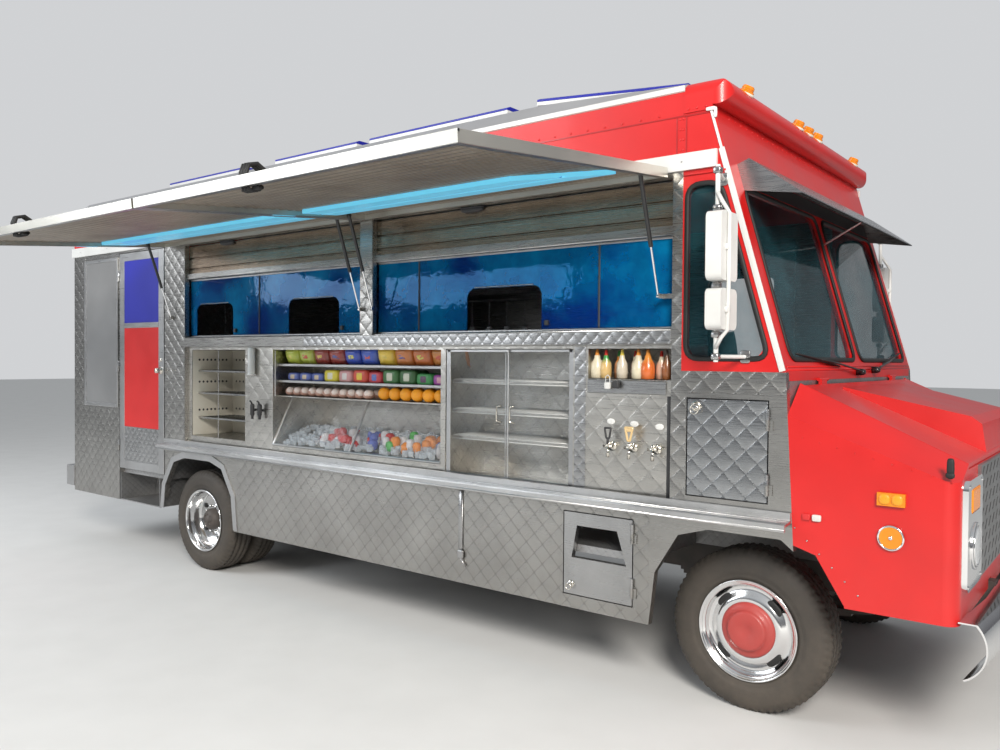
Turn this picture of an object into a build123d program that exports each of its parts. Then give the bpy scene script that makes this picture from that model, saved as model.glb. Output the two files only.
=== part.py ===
"""Food truck on a walk-in van chassis: stainless kitchen body, red cab and nose, two lift-up awnings.

Modelled with X forward from the front axle, Y to the left from the centreline and Z up from the
ground, in millimetres.  At the end every piece is moved so that the origin is on the ground in the
middle of the whole outline.  The serving side is on -Y.
"""
from build123d import *
from math import atan2, cos, degrees, hypot, radians, sin
import os

# Chassis and wheels
wheelbase = 4520
tyre_radius = 405.5
tyre_width = 226
rim_radius = 248
twin_spacing = 261
front_tyre_face = 1015
rear_tyre_face = 1146
spindle_radius = 30
hub_radius = 50
running_fit = 0.05
rail_half = 432
rail_width = 75
rail_low = 520
rail_top = 700
rail_wall = 8
kingpin_y = 800
kingpin_radius = 18
axle_tube_radius = 60
beam_top = 372
spring_half = 32
front_spring_y = 394
gearbox_rear = -760
bumper_low = 452
bumper_high = 690
bumper_sheet = 6
exhaust_y = 240
exhaust_z = 472
exhaust_radius = 28
rear_spring_y = rail_half + spring_half + 16
front_spring = (0, beam_top, 560, 60, front_spring_y, 4, 12)  # x, seat, reach, rise, y, leaves, leaf
rear_spring = (-wheelbase, tyre_radius + axle_tube_radius + 6, 660, 62, rear_spring_y, 6, 12)
hanger_rows = tuple(
    (x + side * (reach + 20), z + leaves * leaf + rise + 0.6, y)
    for x, z, reach, rise, y, leaves, leaf in (front_spring, rear_spring)
    for side in (-1, 1)
)

# Body
body_half = 1220
body_rear = -6550
wall = 40
floor_top = 740
skirt_low = 400
rear_skirt_low = 460
eave_z = 3060
roof_z = 3190
roof_front_z = 3100
roof_fall_x = -1200
cove_half = body_half - 140
rail_bottom = 2667
band_low = 2750
rail_proud = 15
seam = 0.3
clear = 6
pin = 9
hinge_half = 50
rear_arch = (-wheelbase - 455, -wheelbase + 540, 912)  # rear end, front end, top
front_arch = (-430, 550, 926)

# Cab and nose
belt_z = 1690
cab_rear = -266
cap_rear = cab_rear
cowl_x = 250
brow_x = -113
brow_z = 2945
divider = 100
pane_low = 1750
pane_top = 2570
pane_half = body_half - 108
pane_corner = 70
side_window_top = 2595
glass = 6
cap_half = body_half + 6
cap_round = 75
roll_x = -100
roll_z = 3028
roll_radius = 63
nose_x = 960
nose_low = 665
nose_skin = 20
hood_rear_z = 1640
hood_front_z = 1315
shoulder_rear_z = 1500
shoulder_front_z = 1240
hood_half = body_half - 190
bumper_back = nose_x + 32
bulge_top = ((330, 1614), (885, 1487), (930, 1452), (948, 1330))  # x and z along the raised middle
bulge_half = ((330, 620), (948, 490))  # x and half width
hood_axis = (cowl_x + pin, hood_rear_z + 12)
grille_half = body_half - 420
grille_low = 790
grille_top = 1290
slot_rows = 8
slot_columns = 15
lamp_y = body_half - 235
lamp_z = 967
lamp_radius = 92
signal_z = 1165
bezel_half = 177
signal_half = 95
signal_high = 52
lamp_set = 6
lamp_deep = 30
visor_z = 2690
visor_bend = (20, 2712)  # x and z
visor_tip = (273, 2524)
visor_sheet = 6
visor_stay_z = 2350
bulge_wide = 700
hood_hinge_y = 700

# Wheel boxes and the cover over the engine, folded from sheet
box_wall = 20
cover_rear = -190
cover_half = 350
cover_top = 1300
bulkhead = (cowl_x - 22, cowl_x - 2)
rear_box = (rear_arch[0] + 10, rear_arch[1] - 30, 600, rear_arch[2] + 40)  # x, x, inner y and height inside
front_box = (front_arch[0] - 50, bulkhead[0], 560, front_arch[2] + 40)

# Serving side
shelf_z = 1010
shelf_proud = 90
entry_front = -wheelbase - 440
entry_rear = entry_front - 745
entry_top = 2650
bay_rear = entry_front + 300
bay_front = -320
bay_top = 2640
sill_low = 1820
sill_top = 1890
header_low = 2370
post_front = -2460
post_rear = post_front - 115
pass_top = 2160
pass_rows = (  # rear and front end of each opening in the service windows
    (bay_rear + 80, bay_rear + 580),
    (post_rear - 825, post_rear - 275),
    (bay_front - 1380, bay_front - 830),
)
case_depth = 400
case_set = 30
bay_rows = (  # rear end, front end, low, high and shelf heights of each open bay in the cabinet
    (bay_rear + 60, bay_rear + 780, 1100, 1795, (1240, 1440, 1620)),
    (bay_rear + 1120, bay_front - 1560, 1100, 1795, (1450, 1560, 1680)),
    (bay_front - 1520, bay_front - 595, 1020, 1800, (1260, 1420, 1600)),
    (bay_front - 500, bay_front - 15, 1640, 1800, ()),
)

# Awnings and their struts
hinge_y = -body_half - 20
hinge_z = 2655
awning_reach = 1590
awning_droop = 5.6
awning_rows = (  # name, rear end, front end
    ("front", post_front - 30, bay_front - 15),
    ("rear", bay_rear - 220, post_front - 50),
)
strut_arm = 200
strut_foot_z = 2060
strut_radius = 11
strut_rod_radius = 5
strut_tube = 360

# Roof lids
lid_rows = (  # number, rear end, front end
    (1, -5150, -4110),
    (2, -3690, -2790),
    (3, -2660, -1480),
    (4, -1270, -340),
)
lid_near = 18 - cove_half
lid_far = -102
lid_height = 45
lid_pin = pin + seam  # hinge line above the roof

# Doors and the bench: rear end, front end, low and high
locker_door = (-235, 175, 1080, 1560)
generator_door = (-950, -520, 470, 925)
cab_door = (-1310, -550, 760, 2560)
rear_door = (-400, 400, 760, 2560)
bench_rear = rear_arch[1] + 30
bench_front = -2160
rear_hinge = (body_rear - pin, rear_door[1] - clear / 2, (850, 1600, 2350))  # x, y and the heights of its hinges
door_hinges = {  # name: hinge x, side of the door, heights of its hinges
    "side": (entry_rear + clear / 2, 1, (900, 1600, 2400)),
    "locker": (locker_door[1] - clear / 2, -1, (1120, 1420)),
    "generator": (generator_door[1] - clear / 2, -1, (520, 800)),
}
side_panels = ((floor_top + 80, 1117), (1123, 1985), (2030, entry_top - 76))  # low and high of each panel
panel_depth = 3
knob_set = 50  # from the free edge of a door to the middle of its knob
knob_z = 1620
cup_pull = (-650, 1300)  # x and z of the recess in the sliding door


def block(x, y, z):
    """A box from three (low, high) pairs."""
    size = [high - low for low, high in (x, y, z)]
    middle = [(high + low) / 2 for low, high in (x, y, z)]
    return Pos(*middle) * Box(*size)


def outline(points, corner=0):
    """A flat face from corner points, each corner rounded by the same radius."""
    face = make_face(Polyline(points, close=True))
    return fillet(face.vertices(), corner) if corner else face


def side_plate(points, low, high, corner=0):
    """A side view outline of (x, z) points, solid between two y values."""
    return extrude(Plane.XZ.offset(-high) * outline(points, corner), amount=high - low)


def front_plate(points, low, high, corner=0):
    """A front view outline of (y, z) points, solid between two x values."""
    return extrude(Plane.YZ.offset(low) * outline(points, corner), amount=high - low)


def plan_plate(points, low, high, corner=0):
    """A plan view outline of (x, y) points, solid between two z values."""
    return extrude(Plane.XY.offset(low) * outline(points, corner), amount=high - low)


def bar_x(x, y, z, radius):
    """A round bar along X between two x values."""
    return Pos((x[0] + x[1]) / 2, y, z) * Rot(0, 90, 0) * Cylinder(radius, x[1] - x[0])


def bar_y(x, y, z, radius):
    """A round bar along Y between two y values."""
    return Pos(x, (y[0] + y[1]) / 2, z) * Rot(90, 0, 0) * Cylinder(radius, y[1] - y[0])


def bar_z(x, y, z, radius):
    """A round bar along Z between two z values."""
    return Pos(x, y, (z[0] + z[1]) / 2) * Cylinder(radius, z[1] - z[0])


def link(start, end, radius):
    """A round bar from one point to another."""
    way = Vector(*end) - Vector(*start)
    return extrude(Plane(origin=start, z_dir=way) * Circle(radius), amount=way.length)


def total(pieces):
    """All pieces joined into one shape."""
    whole = pieces[0]
    for piece in pieces[1:]:
        whole += piece
    return whole


def mirrored(shape):
    """The same piece on the other side of the centreline."""
    return mirror(shape, about=Plane.XZ)


def both_sides(shape):
    """A piece and its mirror image."""
    return shape + mirrored(shape)


def turned(points, face):
    """A ring turned about the Y axis from (radius, depth) points, depth measured from the outer face."""
    profile = make_face(Polyline([(radius, face - depth) for radius, depth in points], close=True))
    return revolve(profile, axis=Axis.Y)


# Wheels
def tyre(face):
    """A tyre whose outer side wall is at y = face, square shoulders and a flat tread."""
    w = tyre_width
    half = (
        (rim_radius, 22), (rim_radius + 22, 8), (rim_radius + 75, 0),
        (tyre_radius - 40, 10), (tyre_radius - 6, 32), (tyre_radius, 45),
    )
    return turned(half + tuple((radius, w - depth) for radius, depth in reversed(half)), face)


def rim(face, disc, bore):
    """A wheel with its barrel, its disc at a depth below the face, and a centre bore."""
    w = tyre_width
    barrel = turned(
        ((rim_radius - 12, 10), (rim_radius, 10), (rim_radius, w - 10), (rim_radius - 12, w - 10)), face
    )
    plate = turned(
        (
            (bore, disc), (bore + 90, disc), (rim_radius - 34, disc + 35), (rim_radius - 12, disc + 30),
            (rim_radius - 12, disc + 42), (rim_radius - 36, disc + 47), (bore + 88, disc + 14),
            (bore, disc + 14),
        ),
        face,
    )
    return barrel + plate


def front_wheel():
    """A front wheel: rim with four oblong holes and a stepped hub cap, with a blind bore for the spindle."""
    face = front_tyre_face
    hub = turned(
        (
            (0, -6), (90, -6), (98, 2), (100, 10), (122, 14), (134, 22), (136, 36), (95, 42), (95, 160), (0, 160),
        ),
        face,
    )
    wheel = rim(face, 34, 60) + hub
    slot = extrude(Plane.XZ.offset(-face) * SlotOverall(72, 28), amount=100)
    for i in range(4):
        wheel -= Rot(0, 45 + 90 * i, 0) * Pos(0, 0, 178) * slot
    return wheel - bar_y(0, (face - 200, face - 60), 0, spindle_radius + running_fit)


def rear_wheel():
    """A twin rear wheel: two rims with hand holes on one hub, with a bore for the axle tube."""
    face = rear_tyre_face
    hub = turned(((0, 50), (60, 50), (85, 75), (85, 118), (125, 118), (125, 420), (0, 420)), face)
    outer = rim(face, 118, 110)
    inner = rim(face - twin_spacing, 40, 110)
    wheel = outer + inner + hub
    for i in range(5):
        wheel -= Rot(0, 72 * i, 0) * bar_y(166, (face - 340, face), 0, 18)
    return wheel - bar_y(0, (face - 430, face - 80), 0, hub_radius + running_fit)


def twin_tyres():
    """The two tyres of one rear wheel."""
    return tyre(rear_tyre_face) + tyre(rear_tyre_face - twin_spacing)


def knuckle():
    """A front knuckle: forked yoke, kingpin, steering arm and wheel spindle."""
    y, fork = kingpin_y, 95
    piece = block((-32, 32), (y - 30, y + 40), (fork - 28, fork))
    piece += block((-32, 32), (y - 30, y + 40), (-fork, 28 - fork))
    piece += block((-45, 45), (y + 32, y + 40), (-fork, fork))
    piece += bar_z(0, y, (-fork, fork), kingpin_radius)
    piece += bar_y(0, (y + 40, front_tyre_face - 62), 0, spindle_radius)
    return piece + block((-190, -20), (y - 24, y + 6), (-fork, 24 - fork))


# Chassis
def c_rail(x0, x1):
    """The left channel rail, its open side towards the centreline."""
    inner = rail_half - rail_width
    rail = block((x0, x1), (inner, rail_half), (rail_low, rail_top))
    hollow = block(
        (x0 - 1, x1 + 1), (inner - 1, rail_half - rail_wall), (rail_low + rail_wall, rail_top - rail_wall)
    )
    return rail - hollow


def frame():
    """Ladder frame: two channel rails, cross members and spring hangers."""
    rear, front = body_rear + 60, bumper_back - 2
    pieces = [both_sides(c_rail(rear, front))]
    inner = rail_half - rail_wall
    for x in (rear + 40, -wheelbase - 980, -wheelbase + 1020, -wheelbase + 2320, gearbox_rear - 40, front - 40):
        pieces.append(block((x - 35, x + 35), (-inner, inner), (rail_low + 20, rail_low + 120)))
    for x, z, y in hanger_rows:
        under = z < rail_low
        across = (rail_half - rail_width, rail_half) if under else (rail_half, y + spring_half)
        pieces.append(both_sides(block((x - 35, x + 35), across, (z, rail_low if under else rail_top - 10))))
    return total(pieces)


def leaf_spring(x, z, reach, rise, y, leaves, leaf):
    """A leaf pack on its axle: concentric bands, each shorter than the one above it."""
    radius = (reach**2 + rise**2) / (2 * rise)
    centre = z + leaves * leaf + radius - leaf

    def at(r, along):
        return (x + along, centre - (r * r - along * along) ** 0.5)

    pack = []
    for i in range(leaves):
        half = reach * (1 - 0.8 * i / leaves)
        r_in, r_out = radius - leaf + leaf * i, radius + leaf * i
        edge = [
            ThreePointArc(at(r_in, -half), at(r_in, 0), at(r_in, half)),
            Line(at(r_in, half), at(r_out, half)),
            ThreePointArc(at(r_out, half), at(r_out, 0), at(r_out, -half)),
            Line(at(r_out, -half), at(r_in, -half)),
        ]
        face = make_face(edge)
        pack.append(extrude(Plane.XZ.offset(-(y + spring_half)) * face, amount=2 * spring_half))
    return total(pack)


def springs():
    """Leaf springs of both axles, with the blocks that they clamp down on."""
    rear_x, rear_z = rear_spring[0], rear_spring[1]
    seat = block(
        (rear_x - 60, rear_x + 60), (rear_spring_y - spring_half, rear_spring_y + spring_half),
        (tyre_radius + axle_tube_radius, rear_z),
    )
    return both_sides(leaf_spring(*front_spring) + leaf_spring(*rear_spring) + seat)


def front_axle():
    """Dropped beam axle with an eye for the kingpin at each end."""
    y, mid = kingpin_y, tyre_radius
    beam = front_plate(
        (
            (0, beam_top - 80), (480, beam_top - 80), (760, mid - 62), (y, mid - 62),
            (y, mid + 62), (y - 28, mid + 62), (680, beam_top + 40), (500, beam_top), (0, beam_top),
        ),
        -26, 26,
    )
    beam += bar_z(0, y, (mid - 62, mid + 62), 26)
    beam -= bar_z(0, y, (0, 2 * mid), kingpin_radius + running_fit)
    return both_sides(beam)


def rear_axle():
    """Tube axle with its round differential housing, its spindles and the propeller shaft."""
    x, z, face = -wheelbase, tyre_radius, rear_tyre_face
    tube = bar_y(x, (0, face - 424), z, axle_tube_radius)
    tube += bar_y(x, (face - 430, face - 84), z, hub_radius)
    bowl = Pos(x, 0, z) * Rot(0, 90, 0) * Cylinder(165, 190)
    neck = bar_x((x + 80, x + 260), 0, z + 10, 60)
    shaft = link((x + 250, 0, z + 10), (gearbox_rear + 30, 0, 490), 42)
    shaft &= block((x, gearbox_rear - seam), (-60, 60), (300, 560))
    return both_sides(tube) + bowl + neck + shaft


def engine():
    """Engine as one plain block with its gearbox behind it."""
    return block((-120, 640), (-290, 290), (500, 1120)) + block((gearbox_rear, -120), (-170, 170), (430, 690))


def fuel_tank():
    """Fuel tank on the left rail with its two straps."""
    tank = side_plate(((-2600, 430), (-1500, 430), (-1500, 690), (-2600, 690)), 450, 880, 40)
    return tank + total([block((x, x + 50), (rail_half, 450), (540, 660)) for x in (-2450, -1700)])


def exhaust():
    """Exhaust pipe with its silencer, hung from the left rail, and a tail pipe out below the skirt."""
    y, z, radius = exhaust_y, exhaust_z, exhaust_radius
    end = -wheelbase + 920
    pipe = bar_x((end, -100), y, z, radius) + bar_x((end + 300, end + 1200), y, z, 80)
    pipe += Pos(end, y, z) * Sphere(radius) + link((end, y, z), (end - 150, body_half - 40, 365), radius)
    return pipe + block((end + 700, end + 730), (y + 50, y + 140), (z + 36, rail_low))


# Body
def wheel_arch(x0, x1, z):
    """The outline of a wheel opening with slanted shoulders."""
    drop, step = 0.30 * (z - skirt_low), 0.16 * (x1 - x0)
    return (
        (x0, skirt_low - 80), (x0 + 0.2 * step, z - 1.6 * drop), (x0 + step, z - 0.3 * drop), (x0 + 2 * step, z),
        (x1 - 2 * step, z), (x1 - step, z - 0.3 * drop), (x1 - 0.2 * step, z - 1.6 * drop), (x1, skirt_low - 80),
    )


def wheel_space(box, grow=0):
    """The space inside a left wheel box, from below the floor, or with its walls when grown."""
    x0, x1, y0, top = box
    ahead = 0 if x1 == bulkhead[0] else grow
    inside = body_half - wall
    return block((x0 - grow, x1 + ahead), (y0 - grow, inside + (0 if grow else 1)), (rail_top - 1, top + grow))


def cover_space(grow=0):
    """The space under the engine cover, or with its walls when grown."""
    half, top = cover_half - box_wall + grow, cover_top - box_wall + grow
    return block((cover_rear + box_wall - grow, bulkhead[0]), (-half, half), (rail_top - 1, top))


def floor():
    """Body floor and the bulkhead behind the nose, both open to the wheels and the engine."""
    inside = body_half - wall
    deck = block((body_rear + wall, bulkhead[0]), (-inside, inside), (rail_top, floor_top))
    deck += block(bulkhead, (-inside, inside), (rail_top, belt_z - 40))
    through = Pos(bulkhead[1] - bulkhead[0] + 1, 0, 0)
    deck -= both_sides(wheel_space(rear_box) + wheel_space(front_box) + through * wheel_space(front_box))
    return deck - cover_space() - through * cover_space()


def wheel_boxes():
    """Four wheel boxes and the engine cover, folded from sheet and seated on the floor."""
    above = block((body_rear, cowl_x), (-body_half, body_half), (floor_top, belt_z))
    boxes = [wheel_space(box, box_wall) - wheel_space(box) for box in (rear_box, front_box)]
    covers = both_sides(total(boxes)) + (cover_space(box_wall) - cover_space())
    return covers & above


def wall_outline():
    """Side wall outline in (x, z): sills, both wheel openings and the step up to the cab belt."""
    rear0, rear1, _ = rear_arch
    arch = wheel_arch(*rear_arch)[1:-1]
    nose = wheel_arch(*front_arch)[1:6]
    return (
        (body_rear, rear_skirt_low), (rear0, rear_skirt_low), *arch, (rear1, skirt_low),
        (front_arch[0], skirt_low), *nose[:4], (cowl_x + 45, 880), (cowl_x, belt_z),
        (cab_rear, belt_z), (cab_rear, band_low), (body_rear, band_low),
    )


def right_wall():
    """Stainless serving wall: bay with sill, header and centre post, side entry and skirt openings."""
    outer, inner = -body_half, wall - body_half
    side = side_plate(wall_outline(), outer, inner)
    side -= block((bay_rear, bay_front), (outer - 1, inner + 1), (shelf_z, bay_top))
    side -= block((entry_rear, entry_front), (outer - 1, inner + 1), (rear_skirt_low - 1, entry_top))
    side += block((bay_rear, bay_front), (outer, outer + 60), (sill_low, sill_top))
    side += block((post_rear, post_front), (outer, inner), (sill_top, bay_top))
    side += block((bay_rear, bay_front), (outer + 60, outer + 70), (header_low, bay_top))
    side += block((bay_rear, bay_front), (outer + 20, outer + 70), (header_low, header_low + 40))
    for x0, x1, z0, z1 in (locker_door, generator_door):
        side -= block((x0, x1), (outer - 1, inner + 1), (z0, z1))
    return side


def left_wall():
    """Plain left wall with the opening of the sliding cab door."""
    side = side_plate(wall_outline(), body_half - wall, body_half)
    x0, x1, z0, z1 = cab_door
    return side - block((x0, x1), (body_half - wall - 1, body_half + 1), (z0, z1))


def rear_wall():
    """Rear wall between the side walls with one door opening."""
    inside = body_half - wall
    y0, y1, z0, z1 = rear_door
    panel = block((body_rear, body_rear + wall), (-inside, inside), (rear_skirt_low, band_low))
    return panel - block((body_rear - 1, body_rear + wall + 1), (y0, y1), (z0, z1))


def upper_band():
    """Red band round the body between the rails and the eaves."""
    outside = block((body_rear, cab_rear), (-body_half, body_half), (band_low, eave_z))
    inside = block(
        (body_rear + wall, cab_rear + 1), (wall - body_half, body_half - wall), (band_low - 1, eave_z + 1)
    )
    return outside - inside


def rails():
    """White rails along both sides below the red band."""
    rail = block((body_rear - 20, -90), (body_half, body_half + rail_proud), (rail_bottom, band_low))
    return both_sides(rail)


def roof_form(inset, past):
    """The coved roof as one solid that falls towards the cab, moved inwards by an inset."""
    low, high, half = eave_z - past, roof_z - inset, body_half - inset
    cove = cove_half - 0.4 * inset
    rear, front = body_rear + inset, cap_rear + past
    along = side_plate(
        ((rear, low), (rear, high), (roof_fall_x, high), (front, roof_front_z - inset), (front, low)), -half, half
    )
    return along & front_plate(((-half, low), (half, low), (cove, high), (-cove, high)), rear, front)


def roof_surface(x):
    """Height of the roof at x."""
    share = max(0, (x - roof_fall_x) / (cap_rear - roof_fall_x))
    return roof_z + (roof_front_z - roof_z) * share


def roof():
    """Coved roof shell with an opening below each lid."""
    shell = roof_form(0, 0) - roof_form(wall, 1)
    for _, rear, front in lid_rows:
        hole = (rear + 60, front - 60), (lid_near + 60, lid_far - 60)
        shell -= block(*hole, (roof_front_z - wall - 1, roof_z + 1))
    return shell


def hinge(starts, toward, grip=(pin - 6, pin), reach=24, seat=pin):
    """Fixed and moving knuckles on one vertical hinge line, both with leaves.

    The line is at the origin, the surface that carries the hinge is at y = seat and the moving
    leaf lies on the side that toward points to.
    """
    fixed, moving = [], []
    for start in starts:
        for pieces, low, side, band in (
            (fixed, start, -toward, (pin - 6, seat)),
            (moving, start + hinge_half + seam, toward, grip),
        ):
            high = low + hinge_half - seam
            pieces.append(bar_z(0, 0, (low, high), pin))
            pieces.append(block(sorted((0, side * reach)), band, (low, high)))
    return total(fixed), total(moving)


def lid_place(front):
    """Place of a lid: its hinge line at the origin and the roof below it level."""
    x = front + pin + 2
    fall = degrees(atan2(roof_z - roof_front_z, cap_rear - roof_fall_x)) if x > roof_fall_x else 0
    return Pos(x, (lid_near + lid_far) / 2, roof_surface(x)) * Rot(0, fall, 0) * Pos(0, 0, lid_pin)


def lid_hinges():
    """Fixed and moving knuckles at the front end of a roof lid, on the hinge line at the origin."""
    return [Rot(-90, 0, 0) * piece for piece in hinge((-400, -50, 300), -1, (-3, 3), pin + 2, lid_pin)]


def lid(rear, front):
    """Roof lid: a shallow pan with chamfered edges, hinged at its front end."""
    half, reach = (lid_far - lid_near) / 2, front - rear
    low, high, edge, sheet = clear - lid_pin, clear - lid_pin + lid_height, 12, 15
    pan = front_plate(
        (
            (-half, low), (half, low), (half, high - edge), (half - 2.5 * edge, high),
            (2.5 * edge - half, high), (-half, high - edge),
        ),
        -reach - pin - 2, -pin - 2,
    )
    pan -= block(
        (sheet - reach - pin - 2, -sheet - pin - 2), (sheet - half, half - sheet), (low - 1, high - sheet)
    )
    return lid_place(front) * (pan + lid_hinges()[1])


# Cab
def face_x(z):
    """X of the raked cab face at a height."""
    return cowl_x + (brow_x - cowl_x) * (z - belt_z) / (brow_z - belt_z)


def cab_shell():
    """Red cab: two sides and a raked front with its windows cut."""
    outer = side_plate(
        ((cab_rear, belt_z), (cowl_x, belt_z), (brow_x, brow_z), (cab_rear, brow_z)), -body_half, body_half
    )
    low, high = belt_z - 10, brow_z + 10
    inner = side_plate(
        (
            (cab_rear - 1, low), (face_x(low) - wall, low), (face_x(high) - wall, high), (cab_rear - 1, high),
        ),
        wall - body_half, body_half - wall,
    )
    shell = outer - inner - total(window_holes())
    inside = body_half - wall
    return shell + block((cowl_x - wall, cowl_x), (-inside, inside), (belt_z - 40, belt_z))


def window_holes():
    """Openings of the cab: two side windows and the two panes of the windscreen."""
    side = (
        (cab_rear + 22, pane_low), (face_x(pane_low) - 62, pane_low),
        (face_x(side_window_top) - 62, side_window_top), (cab_rear + 22, side_window_top),
    )
    pane = ((-pane_half, pane_low), (-divider / 2, pane_low), (-divider / 2, pane_top), (-pane_half, pane_top))
    right = side_plate(side, -body_half - 1, wall + 1 - body_half, pane_corner)
    screen = front_plate(pane, -200, cowl_x + 10, pane_corner)
    return [right, mirrored(right), screen, mirrored(screen)]


def cab_glass():
    """Four panes set in the middle of the cab walls."""
    set_in = (wall - glass) / 2
    holes = window_holes()
    low, high = pane_low - 20, pane_top + 20
    sheet = side_plate(
        (
            (face_x(low) - set_in - glass, low), (face_x(low) - set_in, low),
            (face_x(high) - set_in, high), (face_x(high) - set_in - glass, high),
        ),
        -body_half, body_half,
    )
    sides = both_sides(
        block((cab_rear, cowl_x), (body_half - set_in - glass, body_half - set_in), (low, side_window_top + 10))
    )
    return total([(hole & slab) for hole, slab in zip(holes, (sides, sides, sheet, sheet))])


def on_roll(angle):
    """A point (x, z) on the brow's roll at an angle above the forward direction."""
    return (roll_x + roll_radius * cos(radians(angle)), roll_z + roll_radius * sin(radians(angle)))


def roof_cap():
    """Rolled red brow over the windscreen with rounded ends, in one piece with the front end of the roof."""
    edge = [
        Line((cap_rear, roof_front_z), (cap_rear, brow_z)),
        Line((cap_rear, brow_z), (face_x(brow_z), brow_z)),
        Line((face_x(brow_z), brow_z), on_roll(-107)),
        ThreePointArc(on_roll(-107), on_roll(-6), on_roll(95)),
        Line(on_roll(95), (cap_rear, roof_front_z)),
    ]
    solid = extrude(Plane.XZ.offset(-cap_half) * make_face(edge), amount=2 * cap_half)
    rear, front, high = cap_rear - 200, roll_x + roll_radius, roof_front_z + 1
    solid &= front_plate(
        ((-cap_half, belt_z), (cap_half, belt_z), (cap_half, high), (-cap_half, high)), rear, front, cap_round
    )
    solid &= plan_plate(
        ((rear, -cap_half), (front, -cap_half), (front, cap_half), (rear, cap_half)), belt_z, high, cap_round
    )
    inside = body_half - wall
    hollow = side_plate(
        (
            (cap_rear - 1, brow_z - 1), (roll_x - roll_radius, brow_z - 1), (roll_x - roll_radius, roll_z),
            (cap_rear - 1, roof_front_z - wall),
        ),
        -inside, inside,
    )
    return solid - hollow


# Nose
def seam_z(x):
    """Height of the seam between hood and fenders."""
    return hood_rear_z + (hood_front_z - hood_rear_z) * (x - cowl_x) / (nose_x - cowl_x)


def nose_section(x, inset, low):
    """Cross-section of the nose at x: flat sides, slanted shoulders and a flat top."""
    share = (x - cowl_x) / (nose_x - cowl_x)
    shoulder = shoulder_rear_z + (shoulder_front_z - shoulder_rear_z) * share
    half, top = body_half - inset, seam_z(x) - inset
    points = ((-half, low), (half, low), (half, shoulder), (hood_half, top), (-hood_half, top), (-half, shoulder))
    return Plane.YZ.offset(x) * outline(points)


def nose():
    """Red nose: both fenders and the grille surround, open below and under the hood."""
    start = cowl_x + seam
    outer = loft([nose_section(start, 0, nose_low), nose_section(nose_x, 0, nose_low)])
    outer &= plan_plate(
        ((0, -body_half), (nose_x, -body_half), (nose_x, body_half), (0, body_half)), 0, hood_rear_z + 1, 60
    )
    back, front = start - 1, nose_x - nose_skin
    shell = outer - loft([nose_section(back, nose_skin, 0), nose_section(front, nose_skin, 0)])
    low = nose_skin - 2 + clear
    shell -= side_plate(
        ((back, seam_z(back) - low), (nose_x + 1, seam_z(nose_x) - low), (nose_x + 1, hood_rear_z + 60),
         (back, hood_rear_z + 60)),
        -hood_half, hood_half,
    )
    arch = wheel_arch(*front_arch)
    shell -= side_plate(arch, -body_half - 1, body_half + 1)
    shell -= block((front - 1, nose_x + 1), (-grille_half + 30, grille_half - 30), (grille_low + 20, grille_top - 20))
    shell -= side_plate(wall_outline(), -body_half - 1, body_half + 1)
    shell -= both_sides(block((front - 1, nose_x + 1), (rail_half - rail_width - 8, rail_half + 8), (600, rail_top + 8)))
    return shell + both_sides(block((start, front + 1), (545, 551), (720, grille_top - 40)))


def grille():
    """Grey sheet grille with rows of slanted slots."""
    plate = block((nose_x, nose_x + 14), (-grille_half, grille_half), (grille_low, grille_top))
    pitch_y, pitch_z = 2 * grille_half / slot_columns, (grille_top - grille_low) / slot_rows
    slot = ((-0.38 * pitch_y, -0.36 * pitch_z), (-0.1 * pitch_y, -0.36 * pitch_z), (0.38 * pitch_y, 0.3 * pitch_z),
            (0.1 * pitch_y, 0.3 * pitch_z))
    for i in range(slot_columns):
        for j in range(slot_rows):
            y, z = (i + 0.5) * pitch_y - grille_half, (j + 0.5) * pitch_z + grille_low
            plate -= front_plate([(y + dy, z + dz) for dy, dz in slot], nose_x - 1, nose_x + 15)
    return plate


def bulge(drop):
    """The raised middle of the hood as one solid, or its inside when it is made smaller by a drop."""
    (x0, _), (x1, z1), (x2, z2), (x3, z3) = bulge_top
    low = seam_z(x3) - 80 if drop else seam_z(x3) - 4
    side = side_plate(
        (
            (x0 + 2 * drop, bulge_top[0][1] - 1.5 * drop), (x1 - 0.4 * drop, z1 - drop), (x2 - drop, z2 - 0.7 * drop),
            (x3 - drop, z3), (x3 - drop, low), (x0 + 2 * drop, seam_z(x0) - (80 if drop else 4)),
        ),
        -bulge_wide, bulge_wide,
    )
    (x0, y0), (x1, y1) = bulge_half
    plan = plan_plate(
        ((x0, drop - y0), (x1 + 5, drop - y1), (x1 + 5, y1 - drop), (x0, y0 - drop)), seam_z(x1) - 100, 1700
    )
    return side & plan


def hood():
    """Hood lid: a sheet along the seam with its raised middle and two hinge knuckles."""
    rear, front, half = cowl_x + 2 * pin + 6, nose_x - 2, hood_half - clear
    thick = nose_skin - 2
    sheet = side_plate(
        ((rear, seam_z(rear)), (front, seam_z(front)), (front, seam_z(front) - thick), (rear, seam_z(rear) - thick)),
        -half, half,
    )
    lid_form = sheet + bulge(0) - bulge(thick)
    for y in (-hood_hinge_y, hood_hinge_y):
        lid_form += bar_y(hood_axis[0], (y - 80, y), hood_axis[1], pin)
        lid_form += block((hood_axis[0], rear + 2), (y - 80, y), (seam_z(rear) - thick, hood_axis[1] + 3))
    return lid_form


def hood_knuckles():
    """Fixed knuckles of the hood hinge on the cowl."""
    return total([
        bar_y(hood_axis[0], (y + seam, y + 60), hood_axis[1], pin)
        + block((cowl_x, hood_axis[0]), (y + seam, y + 60), (hood_axis[1] - 3, hood_axis[1] + 3))
        for y in (-hood_hinge_y, hood_hinge_y)
    ])


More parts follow.
